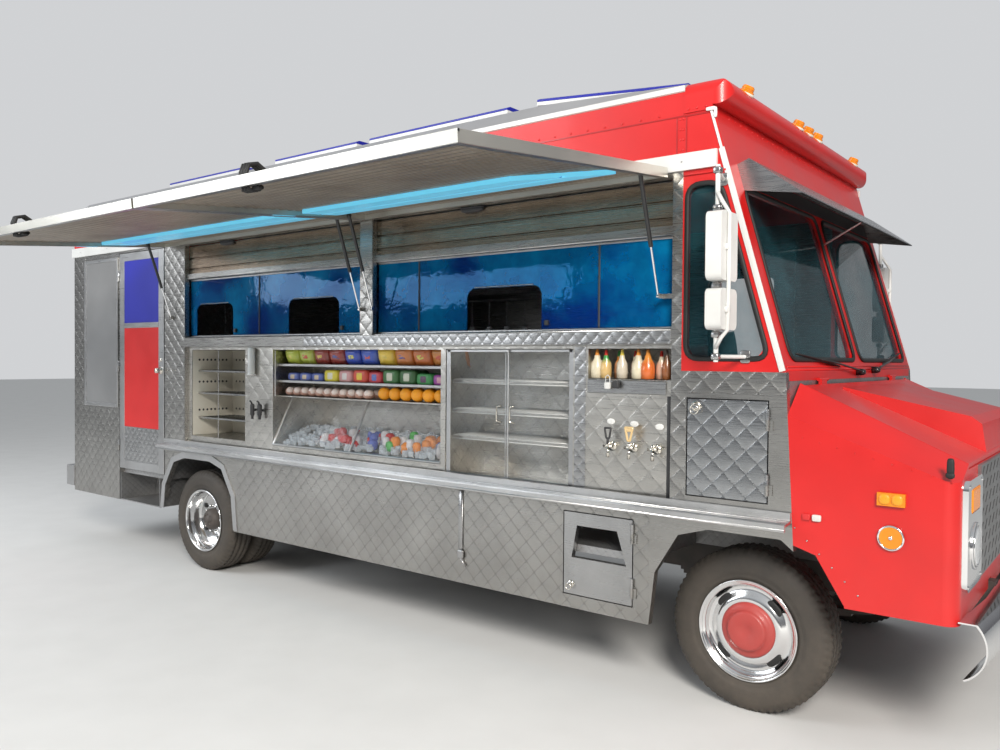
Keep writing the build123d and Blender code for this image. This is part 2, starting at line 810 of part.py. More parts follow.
def lamp_bezels():
    """Chrome surrounds of the headlamps and turn signals."""
    near, far = lamp_y - bezel_half, lamp_y + bezel_half
    low, high = lamp_z - lamp_radius - 80, signal_z + signal_high + 40
    plate = front_plate(((near, low), (far, low), (far, high), (near, high)), nose_x, nose_x + 22, 40)
    deep = (nose_x + lamp_set, nose_x + 23)
    plate -= bar_x(deep, lamp_y, lamp_z, lamp_radius)
    plate -= block(
        deep, (lamp_y - signal_half, lamp_y + signal_half), (signal_z - signal_high, signal_z + signal_high)
    )
    return both_sides(plate)


def headlamps():
    """Round sealed beams with round-shouldered lenses."""
    beam = bar_x((nose_x + lamp_set, nose_x + lamp_set + lamp_deep), lamp_y, lamp_z, lamp_radius - 4)
    return both_sides(fillet(beam.edges().group_by(Axis.X)[-1], lamp_deep - 8))


def turn_signal():
    """The left turn signal: a rounded lens that fills its recess in the lamp surround."""
    half, high = signal_half - 2, signal_high - 2
    lens = block(
        (nose_x + lamp_set, nose_x + lamp_set + 20), (lamp_y - half, lamp_y + half), (signal_z - high, signal_z + high)
    )
    return fillet(lens.edges().group_by(Axis.X)[-1], 9)


def front_bumper():
    """Chrome bumper: a bowed sheet with a top flange and a curled foot, swept back at its ends."""
    top, foot, sheet = (nose_x + 102, bumper_high), (nose_x + 58, bumper_low), bumper_sheet
    bow = (nose_x + 140, 0.55 * bumper_high + 0.45 * bumper_low)
    back = (bumper_back, bumper_high)
    section = make_face([
        ThreePointArc(top, bow, foot), Line(foot, (foot[0] - sheet, foot[1] + sheet)),
        ThreePointArc((foot[0] - sheet, foot[1] + sheet), (bow[0] - sheet, bow[1]), (top[0] - sheet, top[1] - sheet)),
        Line((top[0] - sheet, top[1] - sheet), (back[0], back[1] - sheet)), Line((back[0], back[1] - sheet), back),
        Line(back, top),
    ])
    straight, end, sweep = body_half - 480, body_half - 15, 34
    bar = extrude(Plane.XZ.offset(-straight) * section, amount=2 * straight)
    way = Vector(-sweep, end - straight, 0)
    bar += both_sides(extrude(Plane.XZ.offset(-straight) * section, amount=way.length, dir=way.normalized()))
    arm = block((bumper_back - 2, bow[0] - 2), (rail_half - rail_width, rail_half), (540, 640))
    ahead = make_face([ThreePointArc(top, bow, foot), Line(foot, (nose_x, bumper_low)), Line((nose_x, bumper_low),
                       (nose_x, bumper_high)), Line((nose_x, bumper_high), top)])
    return bar + both_sides(arm & extrude(Plane.XZ.offset(-rail_half - 1) * ahead, amount=2 * rail_half + 2))


def rear_bumper():
    """Step bumper: a folded channel across the back."""
    step = block((body_rear - 150, body_rear), (-body_half - 5, body_half + 5), (500, 690))
    return step - block((body_rear - 144, body_rear + 1), (-body_half, body_half), (499, 684))


def visor():
    """Sheet metal sun visor over the windscreen with its side gussets and a stay."""
    foot, edge = (face_x(visor_z) + seam, visor_z), (visor_tip[0], visor_tip[1] - visor_sheet)
    under = (visor_bend[0] - 2, visor_bend[1] - visor_sheet - 1)
    top = (foot, visor_bend, visor_tip, edge, under, (foot[0] + 4, visor_z - 10))
    gusset = (foot, visor_bend, visor_tip, edge, (face_x(pane_top - 10) + seam, pane_top - 10))
    half = pane_half - 3
    sheet = side_plate(top, -half, half)
    cheeks = both_sides(side_plate(gusset, half - 4, half))
    low, high = visor_stay_z, visor_stay_z + 250
    ahead = side_plate(((face_x(low) + seam, low), (300, low), (300, high), (face_x(high) + seam, high)), -20, 20)
    return sheet + cheeks + (link((0, 0, low + 50), (visor_tip[0] - 23, 0, visor_tip[1] + 14), 6) & ahead)


def mirrors():
    """Truck mirrors: a tube pole on two arms each side with a tall and a short head."""
    y = body_half + 200
    pole = bar_z(0, y, (1735, 2625), 11)
    arms = total([link((x, body_half, z), (0, y, z), 9) for x, z in ((-60, 2600), (60, 1760))])
    arms = arms & block((-300, 300), (body_half, y + 30), (1700, 2700))
    heads = total([
        front_plate(((y - 100, z0), (y + 80, z0), (y + 80, z1), (y - 100, z1)), -20, 55, 30)
        for z0, z1 in ((2100, 2410), (1880, 2065))
    ])
    return both_sides(pole + arms + heads)


def brow_lamp(y):
    """A round marker lamp leaning forward on the brow's roll: a base and a ribbed dome."""
    dome = Cylinder(38, 26) + Pos(0, 0, 24) * (Cylinder(30, 22) + Pos(0, 0, 11) * Cylinder(26, 8))
    dome += total([Pos(0, 0, z) * Cylinder(32, 4) for z in (18, 26)])
    return Pos(roll_x, y, roll_z) * Rot(0, 28, 0) * Pos(0, 0, roll_radius - 4) * dome


def small_lamps():
    """Small lamps: five on the brow, the turn signals, two on each fender and two on each rear corner."""
    outer = body_half - 290
    brow = [brow_lamp(y) for y in (-outer, -170, 0, 170, outer)]
    fender = block((650, 760), (body_half, body_half + 20), (1135, 1190)) + bar_y(
        705, (body_half, body_half + 10), 1000, 48
    )
    rear = [block((body_rear - 25, body_rear), (y, y + 110), (760, 870)) for y in (body_half - 320, body_half - 180)]
    return total(brow) - roof_cap() + both_sides(turn_signal() + fender + total(rear))


# Serving side
def shelf():
    """Two-step stainless serving shelf along the whole side."""
    y, z = -body_half, shelf_z
    outer = y - shelf_proud
    step = front_plate(
        (
            (y, z + 45), (y - 16, z + 45), (y - 16, z + 8), (outer, z), (outer, z - 32), (outer + 8, z - 32),
            (outer + 8, z - 10), (y, z - 2),
        ),
        entry_front + 10, 285,
    )
    return step


def cabinet():
    """Stainless cabinet behind the serving side, with the shelves of its open bays."""
    front = case_set - body_half
    case = block((bay_rear, bay_front), (front, front + case_depth), (shelf_z, sill_low))
    for x0, x1, z0, z1, heights in bay_rows:
        case -= block((x0, x1), (front - 1, front + case_depth - 20), (z0, z1))
        for z in heights:
            case += block((x0, x1), (front + 60, front + case_depth - 20), (z, z + 8))
    return case


def display_glass():
    """Sloped glass over the ice display and two sliding panes on the cold cabinet."""
    front = case_set - body_half
    x0, x1 = bay_rows[1][:2]
    slope = front_plate(
        ((front + 4, 1101), (front + 10, 1101), (front + 180, 1440), (front + 174, 1440)), x0 + seam, x1 - seam
    )
    x0, x1, z0, z1 = bay_rows[2][:4]
    middle = (x0 + x1) / 2
    panes = block((x0 + seam, middle + 20), (front + 6, front + 12), (z0 + seam, z1 - seam))
    panes += block((middle - 20, x1 - seam), (front + 20, front + 26), (z0 + seam, z1 - seam))
    return slope + panes


def service_windows():
    """Blue acrylic windows over the sill with three pass-through openings."""
    y = 60 - body_half
    panes = block((bay_rear, post_rear), (y, y + glass), (sill_top, header_low))
    panes += block((post_front, bay_front), (y, y + glass), (sill_top, header_low))
    for x0, x1 in pass_rows:
        hole = side_plate(
            ((x0, sill_top - 90), (x1, sill_top - 90), (x1, pass_top), (x0, pass_top)), y - 1, y + glass + 1, 60
        )
        panes -= hole
    return panes


def strut_open():
    """Upper pivot of an open strut as (y, z), its length and its place with the strut along +Z."""
    droop = radians(awning_droop)
    y, z = hinge_y - strut_arm * cos(droop), hinge_z - strut_arm * sin(droop)
    dy, dz = hinge_y - y, strut_foot_z - z
    return (y, z), hypot(dy, dz), Pos(0, y, z) * Rot(degrees(atan2(-dy, dz)), 0, 0)


def strut_planes(rear, front):
    """X of the two struts of an awning, each with the side of its lugs."""
    return ((rear + 50, -1), (front - 50, 1))


def awning(rear, front):
    """Lift-up awning: a pan with a channel frame, hung on its knuckles and drooping when open."""
    reach, frame_wide = awning_reach, 30
    ring = block((rear, front), (-reach, -12), (-14, 34))
    ring -= block((rear + frame_wide, front - frame_wide), (frame_wide - reach, -12 - frame_wide), (-15, 18))
    for x in awning_hinges(rear, front):
        ring += bar_x((x + 60 + seam, x + 120), 0, 0, pin)
        ring += block((x + 60 + seam, x + 120), (-14, 0), (-5, 5))
    for x, side in strut_planes(rear, front):
        low, high = sorted((x + side * (strut_radius + seam), x + side * (strut_radius + 6)))
        ring += block((low, high), (-strut_arm - 16, 16 - strut_arm), (-12, 19))
    return Pos(0, hinge_y, hinge_z) * Rot(awning_droop, 0, 0) * ring


def awning_hinges(rear, front):
    """X of the three hinges of an awning."""
    return (rear + 150, (rear + front) / 2 - 60, front - 270)


def strut_tubes(rear, front):
    """The two strut cylinders of an awning, bored for their rods."""
    tube = bar_z(0, 0, (0, strut_tube), strut_radius) + bar_x((-strut_radius, strut_radius), 0, 0, strut_radius)
    tube -= bar_z(0, 0, (90, strut_tube + 1), strut_rod_radius + running_fit)
    place = strut_open()[2]
    return total([Pos(x, 0, 0) * place * tube for x, _ in strut_planes(rear, front)])


def strut_rods(rear, front):
    """The two strut rods of an awning with their eyes."""
    _, length, place = strut_open()
    rod = bar_z(0, 0, (strut_tube - 40, length), strut_rod_radius) + bar_x((-7, 7), 0, length, 9)
    return total([Pos(x, 0, 0) * place * rod for x, _ in strut_planes(rear, front)])


def awning_mounts():
    """Fixed awning knuckles and strut feet on the serving wall."""
    pieces = []
    for _, rear, front in awning_rows:
        for x in awning_hinges(rear, front):
            pieces.append(bar_x((x, x + 60), hinge_y, hinge_z, pin))
            pieces.append(block((x, x + 60), (hinge_y, -body_half), (hinge_z - 9, hinge_z + 9)))
        for x, side in strut_planes(rear, front):
            low, high = sorted((x + side * 7.5, x + side * 13.5))
            pieces.append(block((low, high), (hinge_y - 12, wall - body_half), (strut_foot_z - 12, strut_foot_z + 12)))
            low, high = sorted((x + side * 7.5, x + side * 70))
            pieces.append(block((low, high), (4 - body_half, wall - body_half), (strut_foot_z - 12, strut_foot_z + 12)))
    return total(pieces)


# Doors
def slab(x0, x1, z0, z1, thick=36):
    """A flush door in the serving wall, smaller than its opening by the running gap."""
    return block((x0 + clear, x1 - clear), (-body_half, thick - body_half), (z0 + clear, z1 - clear))


def place_right(piece, x):
    """A vertical hinge moved to the outer face of the serving wall."""
    return Pos(x, -body_half - pin, 0) * piece


def hinged_slab(name, x0, x1, z0, z1):
    """A door of the serving side with its moving knuckles."""
    x, toward, heights = door_hinges[name]
    return slab(x0, x1, z0, z1) + place_right(hinge(heights, toward)[1], x)


def knob(x, z, radius, stand):
    """A round door knob on its rose, standing out of the serving side."""
    profile = make_face(Polyline(
        [
            (0, 0), (1.25 * radius, 0), (1.25 * radius, -4), (0.5 * radius, -8), (0.45 * radius, -0.5 * stand),
            (radius, -0.7 * stand), (0.95 * radius, -0.93 * stand), (0.6 * radius, -stand), (0, -stand),
        ],
        close=True,
    ))
    return Pos(x, -body_half, z) * revolve(profile, axis=Axis.Y)


def side_door():
    """Side entry door over the step well, its three panels set back inside a frame, with its knob."""
    door = hinged_slab("side", entry_rear, entry_front, floor_top, entry_top)
    left, right = entry_rear + clear + 80, entry_front - clear - 80
    for low, high in side_panels:
        door -= block((left, right), (-body_half - 1, panel_depth - body_half), (low, high))
    return door + knob(entry_front - knob_set, knob_z, 22, 50)


def locker():
    """Locker door in the front of the serving side, with its pull."""
    return hinged_slab("locker", *locker_door) + knob(locker_door[0] + knob_set, locker_door[3] - 40, 12, 20)


def step_well():
    """Entry step below the side door."""
    inside = wall - body_half
    tread = block((entry_rear + 10, entry_front - 80), (4 - body_half, inside + 300), (rear_skirt_low, rear_skirt_low + 8))
    back = block((entry_rear + 10, entry_front - 80), (inside + 292, inside + 300), (rear_skirt_low, rail_top))
    ends = total([
        block((x, x + 8), (4 - body_half, inside + 300), (rear_skirt_low, rail_top))
        for x in (entry_rear + 10, entry_front - 88)
    ])
    return tread + back + ends


def generator_cover():
    """Generator door with its trapezoid air opening."""
    door = hinged_slab("generator", *generator_door)
    door += knob(generator_door[0] + knob_set, generator_door[2] + 60, 12, 20)
    return door - side_plate(
        ((-896, 675), (-561, 675), (-617, 850), (-863, 850)), -body_half - 1, wall - body_half
    )


def back_door():
    """Rear door hinged on its left, with its lever handle."""
    y0, y1, z0, z1 = rear_door
    panel = block((body_rear, body_rear + 36), (y0 + clear, y1 - clear), (z0 + clear, z1 - clear))
    x, y, heights = rear_hinge
    grip = y0 + clear + 60
    panel += bar_x((body_rear - 60, body_rear), grip, knob_z, 10) + bar_x((body_rear - 8, body_rear), grip, knob_z, 32)
    panel += bar_y(body_rear - 55, (grip, grip + 120), knob_z, 9)
    return panel + Pos(x, y, 0) * Rot(0, 0, -90) * hinge(heights, 1)[1]


def sliding_door():
    """Left cab door with its cup pull, hung inside the wall below its track."""
    x0, x1, z0, z1 = cab_door
    y1 = body_half - wall - clear
    door = block((x0 - 30, x1 + 30), (y1 - 30, y1), (z0, z1 + 40 - seam))
    window = side_plate(
        ((x0 + 120, 1700), (x1 - 120, 1700), (x1 - 120, 2380), (x0 + 120, 2380)), y1 - 31, y1 + 1, 60
    )
    cup = bar_y(cup_pull[0], (y1 - 18, y1 + 1), cup_pull[1], 38)
    return door - window - cup


def door_track():
    """Track of the sliding door on the inside of the left wall."""
    x0, x1, _, z1 = cab_door
    return block((2 * x0 - x1, x1 + 40), (body_half - wall - 45, body_half - wall), (z1 + 40, z1 + 60))


# Inside the body
def cab_seat():
    """Driver's seat on its pedestal."""
    base = block((-760, -510), (400, 720), (floor_top, 1080))
    cushion = block((-800, -340), (350, 800), (1080, 1200))
    back = side_plate(((-800, 1200), (-700, 1200), (-790, 1960), (-880, 1960)), 350, 800)
    return base + cushion + back


def steering():
    """Steering wheel on its raked column."""
    centre, tilt = (20, 560, 1560), 35
    place = Pos(*centre) * Rot(0, -tilt, 0)
    wheel = Torus(205, 13) + Cylinder(45, 30) + Box(400, 30, 14) + Box(30, 400, 14)
    column = Cylinder(28, 420, align=(Align.CENTER, Align.CENTER, Align.MAX))
    return (place * (wheel + column)) - floor() - block((cowl_x - 60, cowl_x + 200), (0, 1000), (1000, 1700))


def dashboard():
    """Dashboard across the cab under the windscreen."""
    inside = body_half - wall
    x = cowl_x - 22
    return side_plate(((x - 200, 1500), (x, 1500), (x, 1645), (x - 150, 1645)), 1 - inside, inside - 1)


def kitchen():
    """Stainless work bench along the left wall, open at the front above and below its counter."""
    inside = body_half - wall
    bench = block((bench_rear, bench_front), (560, inside), (floor_top, 1640))
    bench -= block((bench_rear + 20, bench_front - 20), (559, inside - 20), (1020, 1600))
    return bench - block((bench_rear + 20, bench_front - 20), (559, inside - 20), (floor_top + 20, 980))


rear_wheel_place = Pos(-wheelbase, 0, tyre_radius)
front_wheel_place = Pos(0, 0, tyre_radius)
lid_fixed = total([lid_place(front) * lid_hinges()[0] for _, _, front in lid_rows])
fixed_leaves = total([place_right(hinge(h, toward)[0], x) for x, toward, h in door_hinges.values()])
back_leaves = Pos(rear_hinge[0], rear_hinge[1], 0) * Rot(0, 0, -90) * hinge(rear_hinge[2], 1)[0]

nodes = {
    "frame": frame(),
    "springs": springs(),
    "front_axle": front_axle(),
    "rear_axle": rear_axle(),
    "engine": engine(),
    "fuel_tank": fuel_tank(),
    "exhaust": exhaust(),
    "floor": floor() + step_well(),
    "wheel_boxes": wheel_boxes(),
    "right_wall": right_wall() + awning_mounts() + fixed_leaves,
    "left_wall": left_wall() + door_track(),
    "rear_wall": rear_wall() + back_leaves,
    "upper_band": upper_band(),
    "rails": rails(),
    "roof": roof() + lid_fixed,
    "roof_cap": roof_cap(),
    "cab_shell": cab_shell() + hood_knuckles(),
    "cab_glass": cab_glass(),
    "visor": visor(),
    "nose": nose(),
    "hood": hood(),
    "grille": grille(),
    "lamp_bezels": lamp_bezels(),
    "headlamps": headlamps(),
    "small_lamps": small_lamps(),
    "front_bumper": front_bumper(),
    "rear_bumper": rear_bumper(),
    "mirrors": mirrors(),
    "shelf": shelf(),
    "cabinet": cabinet(),
    "display_glass": display_glass(),
    "service_windows": service_windows(),
    "side_door": side_door(),
    "locker_door": locker(),
    "generator_door": generator_cover(),
    "rear_door": back_door(),
    "cab_door": sliding_door(),
    "cab_seat": cab_seat(),
    "dashboard": dashboard() + steering(),
    "kitchen_bench": kitchen(),
}
for name, rear, front in awning_rows:
    nodes["awning_" + name] = awning(rear, front)
    nodes["strut_tubes_" + name] = strut_tubes(rear, front)
    nodes["strut_rods_" + name] = strut_rods(rear, front)
for number, rear, front in lid_rows:
    nodes["roof_lid_%d" % number] = lid(rear, front)
for side, flip in (("right", mirrored), ("left", lambda shape: shape)):
    nodes["knuckle_" + side] = flip(front_wheel_place * knuckle())
    nodes["front_wheel_" + side] = flip(front_wheel_place * front_wheel())
    nodes["front_tyre_" + side] = flip(front_wheel_place * tyre(front_tyre_face))
    nodes["rear_wheel_" + side] = flip(rear_wheel_place * rear_wheel())
    nodes["rear_tyres_" + side] = flip(rear_wheel_place * twin_tyres())

boxes = [shape.bounding_box() for shape in nodes.values()]
middle_x = (min(b.min.X for b in boxes) + max(b.max.X for b in boxes)) / 2
middle_y = (min(b.min.Y for b in boxes) + max(b.max.Y for b in boxes)) / 2

if __name__ == "__main__":
    os.makedirs("parts", exist_ok=True)
    for name, shape in nodes.items():
        export_step(Pos(-middle_x, -middle_y, 0) * shape, "parts/%s.step" % name)
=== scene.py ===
"""Looks of the food truck: finishes for its solids, and the pieces that only the picture needs."""
from math import cos, pi, radians, sin

import bmesh
import bpy
import numpy as np
from mathutils import Matrix, Vector


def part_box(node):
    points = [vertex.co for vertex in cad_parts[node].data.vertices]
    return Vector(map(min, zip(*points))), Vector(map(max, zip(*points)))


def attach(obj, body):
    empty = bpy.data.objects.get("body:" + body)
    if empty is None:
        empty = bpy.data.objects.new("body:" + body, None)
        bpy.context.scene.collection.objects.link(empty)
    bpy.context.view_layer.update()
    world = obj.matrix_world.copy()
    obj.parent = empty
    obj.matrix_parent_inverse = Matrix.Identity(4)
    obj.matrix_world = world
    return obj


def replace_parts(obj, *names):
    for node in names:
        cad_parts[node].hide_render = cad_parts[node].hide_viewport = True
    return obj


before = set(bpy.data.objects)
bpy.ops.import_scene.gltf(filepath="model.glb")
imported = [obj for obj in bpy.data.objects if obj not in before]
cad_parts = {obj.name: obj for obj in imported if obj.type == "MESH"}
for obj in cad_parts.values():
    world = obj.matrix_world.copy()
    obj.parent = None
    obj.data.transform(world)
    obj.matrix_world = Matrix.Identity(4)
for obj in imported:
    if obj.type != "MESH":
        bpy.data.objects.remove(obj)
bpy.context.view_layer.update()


# Places: metres from the front axle, the centreline and the ground, X forward and Y to the left
def middle(name, axis):
    """Middle of a node's box along one axis."""
    low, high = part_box(name)
    return (low[axis] + high[axis]) / 2


ORIGIN = np.array([middle("front_axle", 0), middle("nose", 1), 0.0])
WHEELBASE, AXLE_Z = 4.52, 0.4055
SKIN, PROUD = -1.2195, -1.2205  # Y half a millimetre inside and outside the serving side's wall


# Nodes
def feed(tree, sockets, values):
    """Links or sets each named socket."""
    for key, value in values.items():
        if isinstance(value, bpy.types.NodeSocket):
            tree.links.new(value, sockets[key])
        else:
            sockets[key].default_value = value


def add(tree, kind, values=(), **settings):
    """A shader node with its settings and its input values or links."""
    node = tree.nodes.new(kind)
    for key, value in settings.items():
        setattr(node, key, value)
    feed(tree, node.inputs, dict(values))
    return node


def calc(tree, operation, a, b=0.0, clamp=False):
    """One Math node."""
    return add(tree, "ShaderNodeMath", {0: a, 1: b}, operation=operation, use_clamp=clamp).outputs[0]


def times(tree, a, b, clamp=False):
    """A product."""
    return calc(tree, "MULTIPLY", a, b, clamp)


def noise(tree, coords, scale, detail, **more):
    """A noise value."""
    return add(tree, "ShaderNodeTexNoise", {"Vector": coords, "Scale": scale, "Detail": detail, **more}).outputs["Fac"]


def axes(tree, coords):
    """The coordinates one by one."""
    return add(tree, "ShaderNodeSeparateXYZ", {0: coords}).outputs


def group(name, inputs, outputs):
    """An empty node group that takes coordinates and numbers and gives numbers, with its inner sockets."""
    tree = bpy.data.node_groups.new(name, "ShaderNodeTree")
    tree.interface.new_socket("Coords", in_out="INPUT", socket_type="NodeSocketVector")
    for label, value in inputs.items():
        tree.interface.new_socket(label, in_out="INPUT", socket_type="NodeSocketFloat").default_value = value
    for label in outputs:
        tree.interface.new_socket(label, in_out="OUTPUT", socket_type="NodeSocketFloat")
    return tree, tree.nodes.new("NodeGroupInput").outputs, tree.nodes.new("NodeGroupOutput").inputs


def brushed_group():
    """Fine lines drawn out along X with broad cloudy patches."""
    tree, given, made = group("brushed_lines", {"Fineness": 1.0}, ("Lines", "Clouds"))
    scale = add(tree, "ShaderNodeVectorMath", {0: given["Coords"], 1: (6.0, 90.0, 260.0)}, operation="MULTIPLY")
    lines = noise(tree, scale.outputs[0], given["Fineness"], 3.0)
    feed(tree, made, {"Lines": lines, "Clouds": noise(tree, given["Coords"], 2.3, 5.0, Roughness=0.6)})


def quilt_group():
    """Diamond quilting pressed into sheet: two slanted families of creases with soft pillows between."""
    tree, given, made = group("quilted_sheet", {"Pitch": 0.11}, ("Height", "Crease"))
    axis = axes(tree, given["Coords"])
    along = calc(tree, "ADD", axis["X"], axis["Y"])
    sides = []
    for sign in ("ADD", "SUBTRACT"):
        wave = calc(tree, "DIVIDE", calc(tree, sign, along, axis["Z"]), given["Pitch"])
        sides.append(calc(tree, "ABSOLUTE", calc(tree, "SINE", times(tree, wave, pi))))
    pillow = calc(tree, "POWER", times(tree, *sides), 0.35)
    # Crease marks the creases; the steel darkens its colour there as painted shade
    crease = calc(tree, "SUBTRACT", 1.0, calc(tree, "MINIMUM", times(tree, pillow, 2.0), 1.0))
    feed(tree, made, {"Height": pillow, "Crease": crease})


def zone_group():
    """One inside a rectangle of X and Z, nought outside."""
    tree, given, made = group("zone", dict.fromkeys(("X low", "X high", "Z low", "Z high"), 0.0), ("Inside",))
    axis = axes(tree, given["Coords"])
    inside = None
    for letter in "XZ":
        above = calc(tree, "GREATER_THAN", axis[letter], given[letter + " low"])
        below = calc(tree, "LESS_THAN", axis[letter], given[letter + " high"])
        between = times(tree, above, below)
        inside = between if inside is None else times(tree, inside, between)
    feed(tree, made, {"Inside": inside})


def dust_group():
    """Road dust: patches that thicken towards the ground."""
    tree, given, made = group("road_dust", {"Top": 0.9, "Amount": 0.5}, ("Mask",))
    height = axes(tree, given["Coords"])["Z"]
    low = calc(tree, "SUBTRACT", 1.0, calc(tree, "DIVIDE", height, given["Top"]), clamp=True)
    patches = noise(tree, given["Coords"], 7.0, 7.0, Roughness=0.7)
    feed(tree, made, {"Mask": times(tree, times(tree, low, patches), given["Amount"], clamp=True)})


def grain_group():
    """Small moulded grain with a slow change of tone."""
    tree, given, made = group("fine_grain", {"Size": 300.0}, ("Grain", "Tone"))
    grain = noise(tree, given["Coords"], given["Size"], 2.0)
    feed(tree, made, {"Grain": grain, "Tone": noise(tree, given["Coords"], 3.0, 4.0)})


for make in (brushed_group, quilt_group, zone_group, dust_group, grain_group):
    make()
MATERIALS, SLOTS = {}, {}


def use(tree, name, coords, **values):
    """A node group placed in a material."""
    node = tree.nodes.new("ShaderNodeGroup")
    node.node_tree = bpy.data.node_groups[name]
    feed(tree, node.inputs, {"Coords": coords, **values})
    return node.outputs


def finish(name, slot):
    """A new finish: its tree, its main shader and its object coordinates."""
    material = MATERIALS[name] = bpy.data.materials.new(name)
    SLOTS[name] = slot
    material.use_nodes = True
    tree = material.node_tree
    coords = tree.nodes.new("ShaderNodeTexCoord").outputs["Object"]
    return tree, tree.nodes["Principled BSDF"].inputs, coords


def darker(colour, share):
    """A share of a colour."""
    return tuple(share * c for c in colour)


def ramp(tree, value, low, high, start=0.3, end=0.7):
    """Colours blended by a value between two stops."""
    node = add(tree, "ShaderNodeValToRGB", {0: value})
    first, last = node.color_ramp.elements
    first.position, last.position = start, end
    first.color, last.color = (*low, 1), (*high, 1)
    return node.outputs["Color"]


def spread(tree, value, low, high, start=0.3, end=0.7):
    """A value moved from one range to another."""
    values = {"Value": value, "From Min": start, "From Max": end, "To Min": low, "To Max": high}
    return add(tree, "ShaderNodeMapRange", values).outputs[0]


def blend_colour(tree, share, a, b):
    """Two colours mixed by a share."""
    node = add(tree, "ShaderNodeMix", data_type="RGBA")
    sockets = {s.identifier: s for s in node.inputs}
    colours = [c if isinstance(c, bpy.types.NodeSocket) else (*c, 1) for c in (a, b)]
    feed(tree, sockets, {"Factor_Float": share, "A_Color": colours[0], "B_Color": colours[1]})
    return next(s for s in node.outputs if s.identifier == "Result_Color")


def bump(tree, shader, height, distance, strength=1.0):
    """Relief from a height, in metres of depth."""
    node = add(tree, "ShaderNodeBump", {"Height": height, "Strength": strength, "Distance": distance})
    tree.links.new(node.outputs[0], shader["Normal"])


def steel(name, light, rough, slot="stainless", zones=(), quilted=False, dust=0.35, pitch=0.11, dent=0.0012):
    """Stainless sheet: brushed lines, cloudy wear, quilting inside zones with its creases darkened as painted shade,
    and dust near the road.
    """
    tree, shader, coords = finish(name, slot)
    grain = use(tree, "brushed_lines", coords)
    tone = ramp(tree, grain["Clouds"], darker(light, 0.72), light)
    rub = spread(tree, grain["Lines"], rough - 0.05, rough + 0.09)
    relief = times(tree, grain["Lines"], 0.05)
    if quilted or zones:
        quilt = use(tree, "quilted_sheet", coords, Pitch=pitch)
        inside = 1.0
        for x0, x1, z0, z1 in zones:
            values = {"X low": x0 + ORIGIN[0], "X high": x1 + ORIGIN[0], "Z low": z0, "Z high": z1}
            zone = use(tree, "zone", coords, **values)["Inside"]
            inside = zone if inside == 1.0 else calc(tree, "MAXIMUM", inside, zone)
        crease = times(tree, quilt["Crease"], inside)
        # painted shade: the quilting's creases are darkened in colour on top of their relief
        tone = blend_colour(tree, times(tree, crease, 0.55), tone, darker(light, 0.35))
        relief = calc(tree, "ADD", relief, times(tree, quilt["Height"], inside))
    mask = use(tree, "road_dust", coords, Amount=dust, Top=1.1)["Mask"]
    tone = blend_colour(tree, mask, tone, (0.22, 0.19, 0.16))
    rub = calc(tree, "ADD", rub, times(tree, mask, 0.4))
    feed(tree, shader, {"Base Color": tone, "Roughness": rub, "Metallic": 1.0})
    bump(tree, shader, relief, dent)


def paint(name, colour, rough=0.3, coat=0.6, slot="white", dust=0.15, metal=0.0, glow=0.0):
    """Paint: slow change of tone, faint orange peel, dust near the road and a clear coat; a glow value makes the paint
    emit its own colour, painted light for a part that is no lamp.
    """
    tree, shader, coords = finish(name, slot)
    grain = use(tree, "fine_grain", coords, Size=90.0)
    tone = ramp(tree, grain["Tone"], darker(colour, 0.86), colour)
    mask = use(tree, "road_dust", coords, Amount=dust, Top=1.2)["Mask"]
    tone = blend_colour(tree, mask, tone, (0.25, 0.2, 0.17))
    rub = spread(tree, grain["Tone"], rough - 0.04, rough + 0.08)
    feed(tree, shader, {"Base Color": tone, "Roughness": rub, "Coat Weight": coat, "Coat Roughness": 0.08,
                        "Metallic": metal})
    if glow:
        feed(tree, shader, {"Emission Color": (*colour, 1), "Emission Strength": glow})
    bump(tree, shader, grain["Grain"], 0.0003, 0.4)


def plastic(name, slot, colour, rough=0.45, size=400.0, depth=0.0003):
    """Moulded plastic or rubber with a fine grain."""
    tree, shader, coords = finish(name, slot)
    grain = use(tree, "fine_grain", coords, Size=size)
    tone = ramp(tree, grain["Tone"], darker(colour, 0.8), colour)
    feed(tree, shader, {"Base Color": tone, "Roughness": spread(tree, grain["Grain"], rough - 0.06, rough + 0.08)})
    bump(tree, shader, grain["Grain"], depth)


def polished(name, slot, colour, rough):
    """Plated metal with faint cleaning marks."""
    tree, shader, coords = finish(name, slot)
    grain = use(tree, "fine_grain", coords, Size=60.0)
    tone = ramp(tree, grain["Tone"], darker(colour, 0.85), colour)
    rub = spread(tree, grain["Tone"], rough, rough + 0.1, 0.35)
    feed(tree, shader, {"Base Color": tone, "Roughness": rub, "Metallic": 1.0})


def glazing(name, slot, colour, see_through, wave=0.0, rough=0.03, deep=None, shine=(1, 1, 1)):
    """Sheet glass or acrylic as a tinted, mostly clear skin with soft waves; its colour drifts in clouds between deep,
    the darker end, and the given colour as a painted reflection.
    """
    tree, shader, coords = finish(name, slot)
    clouds = use(tree, "brushed_lines", coords)["Clouds"]
    # painted reflection: clouds of darker and lighter colour over the glass
    tone = ramp(tree, clouds, deep or darker(colour, 0.7), colour, 0.35, 0.65)
    cover = spread(tree, clouds, 1 - see_through - 0.08, 1 - see_through + 0.08, 0.35, 0.65)
    feed(tree, shader, {"Base Color": tone, "Specular Tint": (*shine, 1), "Alpha": cover, "Roughness": rough,
                        "IOR": 1.5, "Coat Weight": 0.5 if shine == (1, 1, 1) else 0.0})
    if wave:
        bump(tree, shader, clouds, wave)


